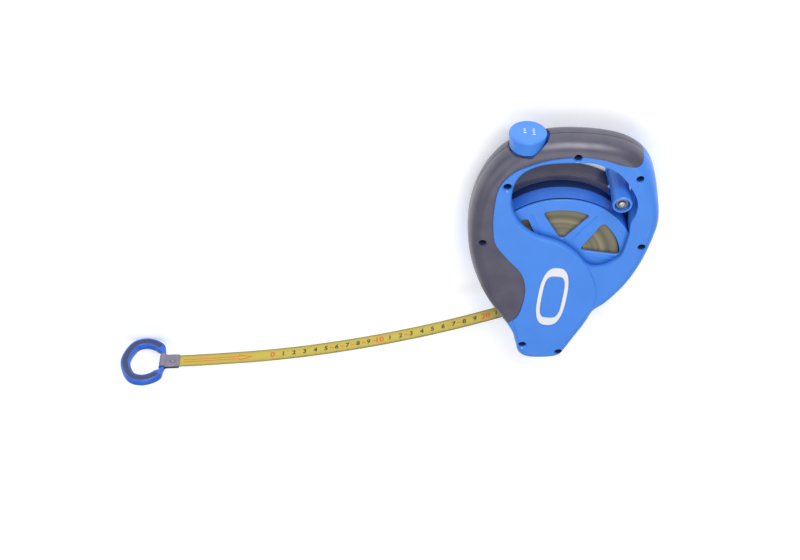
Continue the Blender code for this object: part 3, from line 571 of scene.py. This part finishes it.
# --- blade, clip and ring ---
BLADE_LINE = spline(TAPE_ROUTE, 160, closed=False)
BLADE_RUN = np.concatenate([[0.0], np.cumsum(np.linalg.norm(np.diff(BLADE_LINE, axis=0), axis=1))])
ZERO_MARK_X = -251.0
ZERO_RUN = float(np.interp(-ZERO_MARK_X, -BLADE_LINE[:, 0], BLADE_RUN))


BLADE_CUP = 0.16                # how far the middle of the blade sinks below its edges
INK = 0.03                      # the print's height above the blade, and its thickness


def line_point(run):
    return [np.interp(run, BLADE_RUN, BLADE_LINE[:, k]) for k in (0, 1)]


def blade_point(run, across, lift):
    """A point by its run from the mouth, its place across the width and its lift off the line."""
    x, y = line_point(run)
    ahead, behind = line_point(run + 1.0), line_point(run - 1.0)
    along = Vector((ahead[0] - behind[0], ahead[1] - behind[1])).normalized()
    face = Vector((along.y, -along.x))
    return (x + face.x * lift, y + face.y * lift, MID + across)


def upper_face(across):
    """Lift of the cupped upper face."""
    return TAPE_THICK / 2 - BLADE_CUP * (1 - (across / (TAPE_WIDTH / 2)) ** 2)


def blade():
    """The steel ribbon, very slightly cupped across its width."""
    rings = []
    half = TAPE_WIDTH / 2
    for run in BLADE_RUN:
        upper = [(across, upper_face(across)) for across in np.linspace(-half, half, 9)]
        lower = [(across, lift - TAPE_THICK + 0.12) for across, lift in reversed(upper)]
        rings.append([blade_point(run, across, lift) for across, lift in upper + lower])
    made = skinned("blade", rings)
    piece(made, "casing", TAPE, ["tape_blade"], sharp=50.0)
    return made


def on_blade(name, flats, surface):
    """Lays flat outlines on the blade; x runs from the zero mark towards the mouth."""
    shape = bmesh.new()
    for verts, faces in flats:
        base = [shape.verts.new(blade_point(ZERO_RUN - x, -y, upper_face(y) + INK))
                for x, y in verts]
        for face in faces:
            shape.faces.new([base[k] for k in face])
    bmesh.ops.recalc_face_normals(shape, faces=shape.faces)
    ends = bmesh.ops.extrude_face_region(shape, geom=list(shape.faces))
    for v in ends["geom"]:
        if isinstance(v, bmesh.types.BMVert):
            v.co += Vector((0.0, INK, 0.0))
    return piece(solid(name, shape), "casing", surface)


def bar(x0, x1, y0, y1):
    count = max(2, int(abs(x1 - x0) / 2) + 1)
    xs = np.linspace(x0, x1, count)
    verts = [(x, y0) for x in xs] + [(x, y1) for x in xs]
    faces = [(k, k + 1, count + k + 1, count + k) for k in range(count - 1)]
    return verts, faces


def figure(text, x, y, size):
    """Digits as flat outlines, centred on (x, y)."""
    letter = bpy.data.curves.new("figure", "FONT")
    letter.body = text
    letter.size = size
    letter.align_x = "CENTER"
    letter.align_y = "CENTER"
    letter.resolution_u = 3
    letter.offset = 0.03 * size
    holder = bpy.data.objects.new("figure", letter)
    bpy.context.scene.collection.objects.link(holder)
    graph = bpy.context.evaluated_depsgraph_get()
    graph.update()
    mesh = bpy.data.meshes.new_from_object(holder.evaluated_get(graph))
    verts = [(x + v.co.x, y + v.co.y) for v in mesh.vertices]
    faces = [tuple(p.vertices) for p in mesh.polygons]
    bpy.data.objects.remove(holder, do_unlink=True)
    bpy.data.meshes.remove(mesh)
    return verts, faces


def scale():
    """Generic centimetre scale: figures, ticks, a starting arrow and a few red check marks."""
    black, red = [], []
    last = int(ZERO_RUN // 10)
    half = TAPE_WIDTH / 2
    foot = -half + 0.3
    for number in range(last + 1):
        x = 10.0 * number
        whole = number % 10 == 0
        ink, text, size = (red, str(number), 8.4) if whole else (black, str(number % 10), 7.0)
        ink.append(figure(text, x, 0.0, size))
        ink.append(bar(x - 0.14, x + 0.14, foot, -half + 2.6))
        for tenth in range(1, 10):
            if x + tenth < ZERO_RUN - 0.5:
                reach = 1.9 if tenth == 5 else 1.3
                black.append(bar(x + tenth - 0.09, x + tenth + 0.09, foot, -half + reach))
    for number in (5, 6, 7, 8, 9, 12, 16, 17):
        if number < last:
            for k in range(3):
                at = 10.0 * number + 3.6 + 1.5 * k
                red.append(bar(at, at + 0.9, -0.9, 0.9 - 0.3 * k))
    tail, neck, tip = -83.0, -31.0, -18.0
    for side in (-1, 1):
        red.append(bar(tail, neck, side * 1.3 - 0.42, side * 1.3 + 0.42))
        red.append(([(neck, side * 3.5), (neck + 1.2, side * 2.2), (tip, 0.0), (tip - 3.0, 0.0)],
                    [(0, 1, 3, 2)]))
        red.append(bar(neck - 0.4, neck + 0.4, side * 1.7, side * 3.1))
    on_blade("scale_figures_black", black, INK_BLACK)
    on_blade("scale_figures_red", red, INK_RED)


RING_HALF_WIDTH, RING_HALF_DEPTH = 4.5, 4.6
RING_GROOVE = 1.5
BAR_HALF = 8.6                  # half the length of the straight bar that the clip holds
GROOVE_FROM = 8.0               # the dark strips of painted shade start this far from the bar


def ring_section(away):
    """The ring's cross-section: round at the bar, and two rims with a channel away from it."""
    wide = RING_BAR_R + (RING_HALF_WIDTH - RING_BAR_R) * away
    thick = RING_BAR_R + (RING_HALF_DEPTH - RING_BAR_R) * away
    square = 0.72
    points = []
    for a, b in around(1.0, 48):
        a = math.copysign(abs(a) ** square, a)
        b = math.copysign(abs(b) ** square, b)
        sink = RING_GROOVE * away * math.exp(-(a / 0.62) ** 6)
        points.append((wide * a, math.copysign(max(abs(thick * b) - sink, 0.0), b)))
    return points


RING_LINE = [(0, -8.4), (0, -4), (0, 4), (0, 8.4), (-0.8, 12), (-6, 19), (-17, 23),
             (-28, 18.2), (-34.3, 0), (-28, -18.2), (-17, -23), (-6, -19), (-0.8, -12)]


def from_bar(point):
    return math.hypot(point[0], max(abs(point[1]) - BAR_HALF, 0.0))


def end_ring():
    """The ring, and the dark strips of painted shade in its two channels."""
    line = spline(RING_LINE, 140, closed=True)
    normals = outward(line)

    def placed(k, section):
        (x, z), (nx, nz) = line[k], normals[k]
        return [(RING_BAR[0] + x + nx * a, RING_BAR[1] + b, MID + z + nz * a) for a, b in section]

    rings = [placed(k, ring_section(float(smooth_step(from_bar(point), 1.5, 9.0))))
             for k, point in enumerate(line)]
    piece(skinned("end_ring_body", rings, closed=True), "ring", RING_BLUE, ["end_ring"],
          sharp=60.0)
    count = sum(from_bar(point) > GROOVE_FROM for point in line)
    start = next(k for k in range(len(line))
                 if from_bar(line[k - 1]) <= GROOVE_FROM < from_bar(line[k]))
    section = ((-2.6, 2.4), (-2.6, 3.2), (-1.2, 3.4), (1.2, 3.4), (2.6, 3.2), (2.6, 2.4))
    for word, side in (("upper", 1), ("lower", -1)):
        strip = [placed((start + k) % len(line), [(a, side * b) for a, b in section])
                 for k in range(count)]
        piece(skinned(f"ring_groove_{word}", strip), "ring", RING_CHANNEL_SHADE, sharp=60.0)


def end_clip():
    """Folded plate: a loop about the ring's bar and two leaves pinched on the blade."""
    bar_at = Vector(RING_BAR)
    run = (Vector((-337.0, -138.35)) - bar_at).normalized()
    side = Vector((-run.y, run.x))
    length, loop_r, thick = 15.5, 3.35, 0.75
    upper = [(4.2, 1.36), (5.0, 1.30), (length - 0.4, 1.30), (length, 1.1), (length, 0.6)]
    loop = [*arc(loop_r, 28, 332), *[(x, -y) for x, y in upper], (length, -0.52), (4.6, -0.52),
            *arc(loop_r - thick, 340, 20), (4.6, 0.52), (length, 0.52), *reversed(upper)]
    flat = [tuple(bar_at + run * x + side * y) for x, y in loop]
    made = prism("end_clip_plate", np.array(flat), MID - 7.6, MID + 7.6)
    tip = bar_at + run * (length + 0.2)
    for level in (MID - 7.8, MID + 7.8):
        cut(made, cylinder("corner", 0.9, (*(tip - side * 3), level),
                           (*(tip + side * 3), level), 24))
    piece(made, "casing", CLIP, ["end_clip"], sharp=40.0)

    centre = bar_at + run * 9.0
    rings = []
    for lift, size in ((1.15, 1.0), (1.55, 1.0), (1.72, 0.88), (1.60, 0.7), (1.42, 0.62)):
        rings.append([(*(centre + run * (3.3 * size * a) + side * lift), MID + 2.3 * size * b)
                      for a, b in around(1.0, 40)])
    piece(skinned("clip_punched_mark", rings), "casing", CLIP, sharp=50.0)


# --- casing ---
BODY = spline(BODY_OUTLINE, 264, closed=True)
FRONT_OPENING = spline(OPENING, 180, closed=True)
GRIP_EDGE = spline(GRIP_BORDER, 130, closed=False)
GRIP_REGION = np.vstack([GRIP_EDGE, GRIP_OUTSIDE])
COLUMN_EDGE = [point for point in GRIP_EDGE if point[1] < 66]
REAR_GRIP_REGION = np.vstack([spline(REAR_GRIP_INNER, 50, closed=False), COLUMN_EDGE, GRIP_OUTSIDE])


def edge_radius():
    """The casing's edge is round at the handle, tighter at the foot."""
    x, y = BODY[:, 0], BODY[:, 1]
    handle = np.maximum(smooth_step(y, 45, 95), smooth_step(-x, 50, 68) * smooth_step(y, -60, -20))
    foot = smooth_step(-y, 62, 84)
    return 7.0 + 6.0 * handle - 3.0 * foot


def casing(name, inset, side, steps=12):
    """One half of the casing's outer form, shrunk by inset; side is +1 front, -1 rear."""
    radius = np.maximum(edge_radius() - inset, 1.2)
    loop = grown(BODY, -inset)
    half = HALF - inset
    sections = [(loop, MID + side * -1.0)]
    if inset == 0:
        ease = 0.35
        sections = [(grown(loop, -ease), MID + side * SEAM),
                    (grown(loop, -ease * 0.3), MID + side * (SEAM + ease * 0.3)),
                    (loop, MID + side * (SEAM + ease))]
    for tuck, rise in quarter(steps):
        sections.append((grown(loop, -radius * tuck),
                         MID + side * (half - radius + radius * rise)))
    return loft(name, sections)


def hand_hole(bottom_radius, flare, margin=0.0):
    """The finger opening in the rear shell; flare lifts its handle side."""
    top = np.array(HAND_HOLE_TOP)
    rim = np.stack([top[:, 0], top[:, 1] + flare * top[:, 2]], 1)
    left = math.acos(rim[0][0] / bottom_radius)
    right = math.acos(rim[-1][0] / bottom_radius)
    floor = [polar(bottom_radius, a) for a in np.linspace(right, left, 30)]
    upper = spline([floor[-1], *rim, floor[0]], 110, closed=False)
    loop = np.vstack([np.array(floor)[1:-1], upper])
    return grown(loop, margin) if margin else loop


def flared_hole(name, margin=0.0):
    """Finger opening above the drum wall, its handle side rounded towards the front."""
    sections = [(hand_hole(HOLE_FLOOR_R, 0.0, margin), DRUM_TOP)]
    for tuck, rise in quarter(9):
        sections.append((hand_hole(HOLE_FLOOR_R, HOLE_ROUND * tuck, margin),
                         MID + 0.6 - HOLE_ROUND + HOLE_ROUND * rise))
    return loft(name, sections)


def crank_sweep():
    """The room that the crank grip needs as it swings out about the fold hinge."""
    reach = CRANK_REACH - CRANK_HINGE
    rise = CRANK_GRIP_Z[1] + 0.8 - CRANK_HINGE_Z
    half_width = CRANK_GRIP_R + 0.8
    profile = [(60.0, half_width)]
    for step in range(25):
        angle = math.pi * step / 24
        profile.append((math.hypot(reach + half_width * math.sin(angle), rise),
                        half_width * math.cos(angle)))
    profile.append((60.0, -half_width))
    place = (Matrix.Translation(Vector(polar(CRANK_HINGE, CRANK_ANGLE, CRANK_HINGE_Z)))
             @ Matrix.Rotation(CRANK_ANGLE, 4, "Z"))
    rings = []
    for step in range(33):
        angle = math.radians(-7.0 + 48.0 * step / 32)
        rings.append([place @ Vector((r * math.cos(angle), side, r * math.sin(angle)))
                      for r, side in profile])
    return skinned("crank_sweep", rings)


def button_pocket():
    """Round seat of the lock button in the handle; its wall opens a little towards the rim."""
    profile = ((111.7, 15.4), (115.0, 15.5), (119.0, 16.0), (122.0, 16.7), (125.0, 17.6),
               (142.0, 18.0))
    rings = []
    for level, radius in profile:
        deeper = around(radius + 0.1, 96)
        rings.append([(BUTTON_X + x, level, BUTTON_Z + z)
                      for (x, _), (_, z) in zip(around(radius, 96), deeper)])
    return skinned("button_pocket", rings)


def eased_opening():
    """The front opening, its lip rounded where it meets the face."""
    lip, top = 2.6, FRONT + 1.2
    sections = [(FRONT_OPENING, MID - 1.0)]
    for step, (tuck, rise) in enumerate(quarter(6)):
        sections.append((grown(FRONT_OPENING, lip * tuck),
                         top - lip + lip * rise + (0.0 if step < 6 else 0.01)))
    sections.append((grown(FRONT_OPENING, lip * 1.05), FRONT + 6.0))
    return loft("opening", sections)


SWEEP = crank_sweep()
POCKET = button_pocket()
STEM_HOLE = cylinder("stem_hole", 2.6, (STEM_X, 101.0, STEM_Z), (STEM_X, 116.0, STEM_Z), 40)
MOUTH_SLOT = block("mouth_slot", (26.0, 5.0, 16.0), (MOUTH[0] + 3.0, MOUTH[1] + 1.1, MID),
                   MOUTH_ANGLE)
OPENING_CUT = eased_opening()
HOLE_HIGH = flared_hole("hole_high")
HOLE_LOW = prism("hole_low", hand_hole(DRUM_R, 0.0), -2.0, DRUM_TOP + 0.01)
CHAMBER = cylinder("chamber", CHAMBER_R, (0, 0, CHAMBER_FLOOR), (0, 0, FACE_INNER), 160)


def cavity(side):
    word = "front" if side > 0 else "rear"
    space = casing(f"{word}_cavity", WALL, side, steps=6)
    if side > 0:
        walls = prism("front_opening_wall", grown(FRONT_OPENING, 3.0), MID - 3, FRONT + 3)
    else:
        walls = prism("rear_opening_wall", hand_hole(HOLE_FLOOR_R, HOLE_ROUND, 3.0), BACK - 3,
                      MID + 3)
    corner = cylinder(f"{word}_crank_corner", 19.0, (55, 80, BACK - 3), (55, 80, FRONT + 3))
    saddle = block(f"{word}_button_seat", (40, 24, 60), (BUTTON_X, 116, MID))
    return settle(cut(space, walls, corner, saddle))


def grip_parts(side):
    """The rubber skin of one half, and the cutter that lowers the shell beneath it."""
    word = "front" if side > 0 else "rear"
    region = GRIP_REGION if side > 0 else REAR_GRIP_REGION
    low, high = (MID - 5, FRONT + 5) if side > 0 else (BACK - 5, MID + 5)
    under = casing(f"{word}_under_grip", GRIP_SKIN - GAP, side)
    core = casing(f"{word}_recess_core", GRIP_SKIN, side)
    if side < 0:
        cut(under, flared_hole("under_hole", GRIP_SKIN - GAP),
            prism("under_hole_low", hand_hole(DRUM_R, 0.0, GRIP_SKIN - GAP), 0, DRUM_TOP + 1))
        cut(core, flared_hole("core_hole", GRIP_SKIN + 0.3),
            prism("core_hole_low", hand_hole(DRUM_R, 0.0, GRIP_SKIN + 0.3), 0, DRUM_TOP + 1))
        settle(under)
        settle(core)
    recess = settle(cut(prism(f"{word}_recess", grown(region, GAP * 0.6), low, high), core))
    skin = casing(f"{word}_grip_rubber", 0, side)
    keep(skin, prism(f"{word}_grip_region", region, low, high))
    cut(skin, under)
    return skin, recess


WELL_PROFILE = [(0, 52), (5.2, 52), (4.6, FRONT + 1.3), (3.5, FRONT - 0.1), (3.2, FRONT - 0.7),
                (3.2, SCREW_FLOOR), (0, SCREW_FLOOR)]
WELLS = [lathe(f"well_{number}", WELL_PROFILE, place, 40)
         for number, place in enumerate(SCREWS, 1)]
GRIP_WELLS = WELLS[:3]          # the screws that pass through the rubber


def boss_bores():
    """Sleeves in painted shade: dark navy on the inner walls of the screw bosses."""
    profile = tube_profile(3.0, 3.17, SCREW_FLOOR + 0.1, 42.6, 0.05)
    sleeves = [lathe(f"bore_{number}", profile, place, 40)
               for number, place in enumerate(SCREWS, 1)]
    piece(join(sleeves[0], *sleeves[1:]), "casing", SHADE_NAVY)


def front_side():
    skin, recess = grip_parts(+1)
    shell = casing("front_cover", 0, +1)
    lobe, foot = spline(COVER_LOBE, 170, closed=True), FRONT + 0.25
    edge = [(grown(lobe, -1.3 * tuck), foot + 0.95 * rise) for tuck, rise in quarter(5)[1:]]
    join(shell, loft("cover_lobe", [(lobe, 40.0), (lobe, foot), *edge]))
    cut(shell, cavity(+1), CHAMBER)
    join(shell, *[cylinder(f"boss_{number}", 3.9, (x, y, MID + 0.5), (x, y, 42.0), 40)
                  for number, (x, y) in enumerate(SCREWS, 1)])
    cut(shell, recess)
    join(shell, cylinder("front_bush_boss", 8.5, (0, 0, 38.3), (0, 0, 42.0)))
    cut(shell, OPENING_CUT, SWEEP, POCKET, STEM_HOLE, MOUTH_SLOT,
        cylinder("front_bush_seat", BUSH_SEAT_R, (0, 0, 37.0), (0, 0, 41.2)),
        prism("badge_recess", oval(68.4, 25.4, PLATE_POWER), 44.0, 47.0), *WELLS)
    piece(shell, "casing", BLUE, ["front_shell"])
    cut(skin, SWEEP, POCKET, STEM_HOLE, MOUTH_SLOT, *GRIP_WELLS)
    piece(skin, "casing", RUBBER, ["front_grip"])


def rear_side():
    skin, recess = grip_parts(-1)
    shell = casing("rear_cover", 0, -1)
    cut(shell, cavity(-1), recess)
    body = [(0, 16), (DRUM_R + 0.6, 16), (DRUM_R + 0.6, 8.0), (DRUM_R - 0.4, DRUM_FLOOR),
            (0, DRUM_FLOOR)]
    join(shell, lathe("drum_body", body, steps=180))
    cut(shell, CHAMBER)
    rim = lathe("drum_rim", tube_profile(68.6, DRUM_R + 0.25, 0.0, DRUM_FLOOR + 0.5, 0.7),
                steps=180)
    join(shell, rim, cylinder("drum_hub", 19.0, (0, 0, DRUM_FLOOR + 1.3), (0, 0, 12.8)),
         cylinder("rear_bush_boss", 8.5, (0, 0, 11.0), (0, 0, 16.6)))
    gate_at = (CRANK_REACH + 55.0) / 2 + 10
    cut(shell, HOLE_HIGH, HOLE_LOW, SWEEP, POCKET, STEM_HOLE, MOUTH_SLOT,
        block("arm_gate", (CRANK_REACH - 35.0, 13.0, 9.0),
              polar(gate_at, CRANK_ANGLE, DRUM_FLOOR - 4.5), CRANK_ANGLE),
        block("arm_notch", (12.0, 12.2, 20.0), polar(DRUM_R + 1.2, CRANK_ANGLE, 6.0), CRANK_ANGLE),
        cylinder("crank_recess", 17.8, (0, 0, 3.0), (0, 0, 9.8), 96),
        cylinder("axle_passage", 4.6, (0, 0, 8.0), (0, 0, 15.0)),
        cylinder("rear_bush_seat", BUSH_SEAT_R, (0, 0, 13.1), (0, 0, 18.0)))
    piece(shell, "casing", BLUE, ["rear_shell"])
    cut(skin, cylinder("drum_clearance", DRUM_R + 0.6 + GAP, (0, 0, 0), (0, 0, 16.3), 180),
        HOLE_HIGH, HOLE_LOW, SWEEP, POCKET, STEM_HOLE, MOUTH_SLOT)
    piece(skin, "casing", RUBBER, ["rear_grip"])


def badge():
    plate = oval(68, 25, PLATE_POWER)
    pocket = oval(49.6, 18.2, FIELD_POWER)
    made = loft("badge_frame", [(plate, 44.3), (plate, 45.7), (grown(plate, -0.15), 45.95),
                                (grown(plate, -0.5), 46.05)])
    cut(made, loft("badge_pocket", [(pocket, 45.2), (pocket, 45.85), (grown(pocket, 0.4), 46.3)]))
    piece(made, "casing", WHITE, ["badge_plate"])
    inset = oval(49, 17.6, FIELD_POWER)
    made = loft("badge_field", [(inset, 45.5), (inset, 46.1), (grown(inset, -0.35), 46.35),
                                (grown(inset, -0.9), 46.4)])
    piece(made, "casing", BLUE, ["badge_inset"])


# --- reel ---
def window_loop(angle, grow=0.0):
    half = math.radians(22.5)
    corners = [polar(WINDOW_R, angle + half * k) for k in np.linspace(1, -1, 11)]
    corners.append(polar(19.0, angle))
    loop = filleted(corners, [3.0] + [0] * 9 + [3.0, 3.5], steps=8)
    return grown(loop, grow) if grow else loop


def reel():
    flange_low, flange_high = height("reel_front_flange", top=False), 37.7
    bore, outer = AXLE_R + GAP, 63.9
    corners = [(bore, flange_high), (outer, flange_high), (outer, flange_low), (bore, flange_low)]
    flange = lathe("front_flange", filleted(corners, [0.2, 0.6, 0.4, 0.2], steps=4), steps=200)
    windows, ribs = [], []
    for number in range(WINDOW_COUNT):
        angle = math.radians(WINDOW_FIRST + number * 360 / WINDOW_COUNT)
        windows.append(loft(f"window_{number}", [
            (window_loop(angle), flange_low - 1), (window_loop(angle), flange_high - 0.45),
            (window_loop(angle, 0.45), flange_high + 0.02),
            (window_loop(angle, 0.5), flange_high + 1)]))
        spoke = angle + math.radians(30.0)
        side = Vector(polar(3.2, spoke + math.pi / 2))
        start, end = Vector(polar(23.0, spoke)) + side, Vector(polar(54.0, spoke)) + side * 0.7
        run = end - start
        ribs.append(block(f"spoke_rib_{number}", (run.length, 0.9, 1.2),
                          (*((start + end) / 2), flange_high), math.atan2(run.y, run.x)))
    cut(flange, *windows)
    join(flange, *ribs)
    corners = [(bore, 38.2), (12.0, 38.2), (12.0, 36.4), (bore, 36.4)]
    join(flange, lathe("flange_hub", filleted(corners, [0.1, 0.4, 0, 0], steps=3), steps=96))
    piece(flange, "reel", BLUE, ["reel_front_flange"])

    low, high = height("reel_rear_flange", top=False), 20.7
    rear = lathe("rear_flange", [(bore, 35.4), (CORE_R, 35.4), (CORE_R, high), (60.1, high),
                                 (60.5, high - 0.4), (60.5, low + 0.4), (60.1, low), (bore, low)],
                 steps=180)
    piece(rear, "reel", BLUE, ["reel_rear_flange"])


def wound_blade():
    """The roll, whose edges stand at slightly different heights from turn to turn."""
    inner, low, high = CORE_R + GAP, MID - TAPE_WIDTH / 2, MID + TAPE_WIDTH / 2
    profile = [(inner, high)]
    turns = 58
    for k in range(turns + 1):
        radius = inner + (TAPE_ROLL_R - CORE_R - GAP) * k / turns
        sink = 0.90 + 0.16 * (0.5 + 0.5 * noise.noise(Vector((radius * 0.9, 0.3, 0.7))))
        profile.append((radius, high - (sink if k % 2 else sink + 0.12)))
    profile += [(TAPE_ROLL_R, low), (inner, low)]
    piece(lathe("wound_blade", profile, steps=160), "reel", WOUND, ["wound_tape"],
          sharp=80.0)


def guard():
    """The fixed band around the flange and its foot, painted dark navy as the shade under the
    flange, with a gap where the blade leaves.
    """
    gap = block("guard_gap", (40, 30, 40), polar(66, math.radians(-105), MID))
    band = lathe("guard_band", filleted([(62.9, 34.0), (64.0, 34.0), (64.0, 20.3), (62.9, 20.3)],
                                        [0.3, 0.4, 0.3, 0.2], steps=3), steps=200)
    piece(cut(band, gap), "casing", GUARD_BLUE_SHADED, ["reel_guard"])
    foot = lathe("guard_foot", tube_profile(61.3, 62.6, CHAMBER_FLOOR + GAP, 20.2, 0.2), steps=200)
    piece(cut(foot, gap), "casing", SHADE_NAVY)


def hand_hole_lining():
    """Rubber lip that wraps the drum wall where the fingers pass it."""
    inner, outer, skin = CHAMBER_R + 0.3, DRUM_R + 0.9, 0.65
    foot, wall = 0.6, DRUM_R + 0.05
    corners = [(inner, DRUM_TOP + skin), (outer, DRUM_TOP + skin), (outer + 0.3, 8.0),
               (outer + 2.9, foot), (wall, foot), (wall, DRUM_TOP + 0.02), (inner, DRUM_TOP + 0.02)]
    profile = filleted(corners, [0.2, 0.5, 4.0, 0.2, 0, 0, 0.1], steps=4)
    made = lathe("hand_hole_lining", profile, steps=240)
    keep(made, prism("lining_reach", hand_hole(HOLE_FLOOR_R, 0.0, -0.3), -2.0, DRUM_TOP + 3))
    cut(made, block("lining_end", (80, 160, 60), (79.5, 0.0, 10.0)))
    piece(made, "casing", RUBBER)


# --- crank and button ---
def along_crank(distance, side, z):
    base = Vector(polar(distance, CRANK_ANGLE))
    across = Vector(polar(side, CRANK_ANGLE + math.pi / 2))
    return (*(base + across), z)


def crank():
    tip = along_crank(CRANK_REACH, 0, 0)[:2]

    def outline(points):
        return np.array([along_crank(r, s, 0)[:2] for r, s in points])

    def hinge(name, radius, half, sides):
        return cylinder(name, radius, along_crank(CRANK_HINGE, -half, CRANK_HINGE_Z),
                        along_crank(CRANK_HINGE, half, CRANK_HINGE_Z), sides)

    loop = outline([(CRANK_HINGE, 5.0), (70.0, 4.6), (CRANK_REACH, 4.6), (CRANK_REACH, -4.6),
                    (70.0, -4.6), (CRANK_HINGE, -5.0)])
    arm = loft("crank_arm_bar", [(grown(loop, -0.4), 0.5), (loop, 0.9), (loop, 3.9),
                                 (grown(loop, -0.4), 4.3)])
    eye = filleted([(0, 6.4), (9.3, 6.4), (9.3, 0.4), (0, 0.4)], [0, 0.8, 0.8, 0], steps=4)
    join(arm, hinge("arm_root", 1.98, 4.8, 48), lathe("arm_tip", eye, tip, 96))
    groove = outline([(20, 2.2), (68, 2.0), (68, -2.0), (20, -2.2)])
    cut(arm, prism("arm_groove", groove, -1.0, 1.1), hinge("hinge_bore", 1.3, 10, 32),
        cylinder("arm_tip_bore", 2.7, (*tip, -1), (*tip, 8), 48))
    piece(arm, "crank", BLUE, ["crank_arm"])

    low, high = CRANK_GRIP_Z
    waist = CRANK_GRIP_R - 0.25
    corners = [(6.4, high), (7.5, high), (CRANK_GRIP_R, high - 0.9), (waist, (low + high) / 2),
               (CRANK_GRIP_R, low + 0.9), (7.5, low), (2.8, low), (2.8, 45.4), (5.2, 45.4),
               (5.2, 40.0), (6.3, 40.0)]
    profile = filleted(corners, [0.2, 0.4, 0.5, 20.0, 0.5, 0.4, 0.1, 0, 0, 0, 0], steps=5)
    piece(lathe("crank_grip_sleeve", profile, tip, 112), "crank_handle", BLUE,
          ["crank_grip"])


def lock_button():
    """A round push button with a chamfered crown and two short rows of raised generic marks."""
    hollow = 124.0
    corners = [(0, BUTTON_TOP), (13.4, BUTTON_TOP), (14.9, BUTTON_TOP - 0.7),
               (15.3, BUTTON_TOP - 2.0), (14.3, BUTTON_BASE), (9.0, BUTTON_BASE), (9.0, hollow),
               (0, hollow)]
    rings = []
    for radius, level in filleted(corners, [0, 0.6, 1.0, 1.2, 0.4, 0.2, 0.2, 0], steps=5):
        points = around(radius, 120) if radius > 1e-6 else [(0.0, 0.0)]
        rings.append([(BUTTON_X + x, level, BUTTON_Z + z) for x, z in points])
    made = skinned("lock_button_cap", rings)
    cut(made, cylinder("stem_socket", 2.3, (STEM_X, 110, STEM_Z), (STEM_X, 118.3, STEM_Z), 40))
    piece(made, "button", BLUE, ["lock_button"])
    shape = bmesh.new()
    for column, rows in ((-2.6, 3), (4.6, 4)):
        for row in range(rows):
            centre = Vector((BUTTON_X + column, BUTTON_TOP + 0.01, BUTTON_Z - 3.0 + row * 2.3))
            half = (1.1 if (row + rows) % 2 else 0.8, 0.07, 0.42)
            place = Matrix.Translation(centre) @ Matrix.Diagonal((*half, 1.0))
            bmesh.ops.create_cube(shape, size=2.0, matrix=place)
    piece(solid("button_marks", shape), "button", MARK_WHITE)


# --- carried-over nodes ---
def dress_carried_nodes():
    """Gives the frame's own nodes their looks, by material slot."""
    looks = {"bright_steel": STEEL, "clip_steel": CLIP, "yellow_tape": TAPE,
             "bearing_bronze": BRONZE, "black_felt": FELT, "blue_abs": BLUE,
             "grey_rubber": RUBBER, "white_print": WHITE}
    slots = {row["node"]: row["material_slot"] for row in frame["record"]["subparts"]}
    for name, node in frame["nodes"].items():
        if node.hide_render:
            continue
        surface = looks[slots[name]]
        if name.startswith("shell_screw"):
            surface = DARK_STEEL
        elif name == "grip_washer":
            surface = DULL_STEEL
        node.data.materials.clear()
        node.data.materials.append(surface)
        node.data.shade_smooth()
        node.data.set_sharp_from_angle(angle=math.radians(35))


# --- studio ---
def studio():
    world = bpy.data.worlds.new("studio")
    bpy.context.scene.world = world
    world.use_nodes = True
    back = world.node_tree.nodes["Background"]
    back.inputs["Color"].default_value = (0.93, 0.95, 1.0, 1.0)
    back.inputs["Strength"].default_value = 0.38
    bpy.context.scene.view_settings.view_transform = "Standard"

    shape = bmesh.new()
    bmesh.ops.create_grid(shape, x_segments=1, y_segments=1, size=4.0)
    mesh = bpy.data.meshes.new("floor")
    shape.to_mesh(mesh)
    shape.free()
    floor = bpy.data.objects.new("floor", mesh)
    floor.location = (0.0, 0.0, -0.0004)
    bpy.context.scene.collection.objects.link(floor)
    pale = Shader("pale_floor", (0.92, 0.92, 0.93), 0.9, specular=0.1)
    pale.colour(pale.ramp(pale.noise(3.0, 2.0), [(0.3, (0.90, 0.90, 0.91)),
                                                 (0.7, (0.93, 0.93, 0.94))]))
    pale.put(pale.shader, "Emission Color", (0.96, 0.97, 1.0, 1.0))
    pale.put(pale.shader, "Emission Strength", 0.22)
    mesh.materials.append(pale.made)

    for name, place, size, power in (("key", (0.25, 1.6, 1.1), 1.1, 26.0),
                                     ("fill", (-1.5, 0.3, 1.3), 1.4, 8.0),
                                     ("top", (0.1, -0.4, 1.9), 1.6, 12.0)):
        lamp = bpy.data.lights.new(name, "AREA")
        lamp.size = size
        lamp.energy = power
        holder = bpy.data.objects.new(name, lamp)
        holder.location = place
        aim = Vector((0.0, 0.0, 0.03)) - Vector(place)
        holder.rotation_euler = aim.to_track_quat("-Z", "Y").to_euler()
        bpy.context.scene.collection.objects.link(holder)


# --- make everything ---
camera()
BLADE = blade()
scale()
end_ring()
end_clip()
front_side()
rear_side()
badge()
boss_bores()
reel()
wound_blade()
guard()
hand_hole_lining()
crank()
lock_button()
for tool in TOOLS:
    bpy.data.objects.remove(tool, do_unlink=True)
dress_carried_nodes()
studio()

bpy.context.view_layer.update()
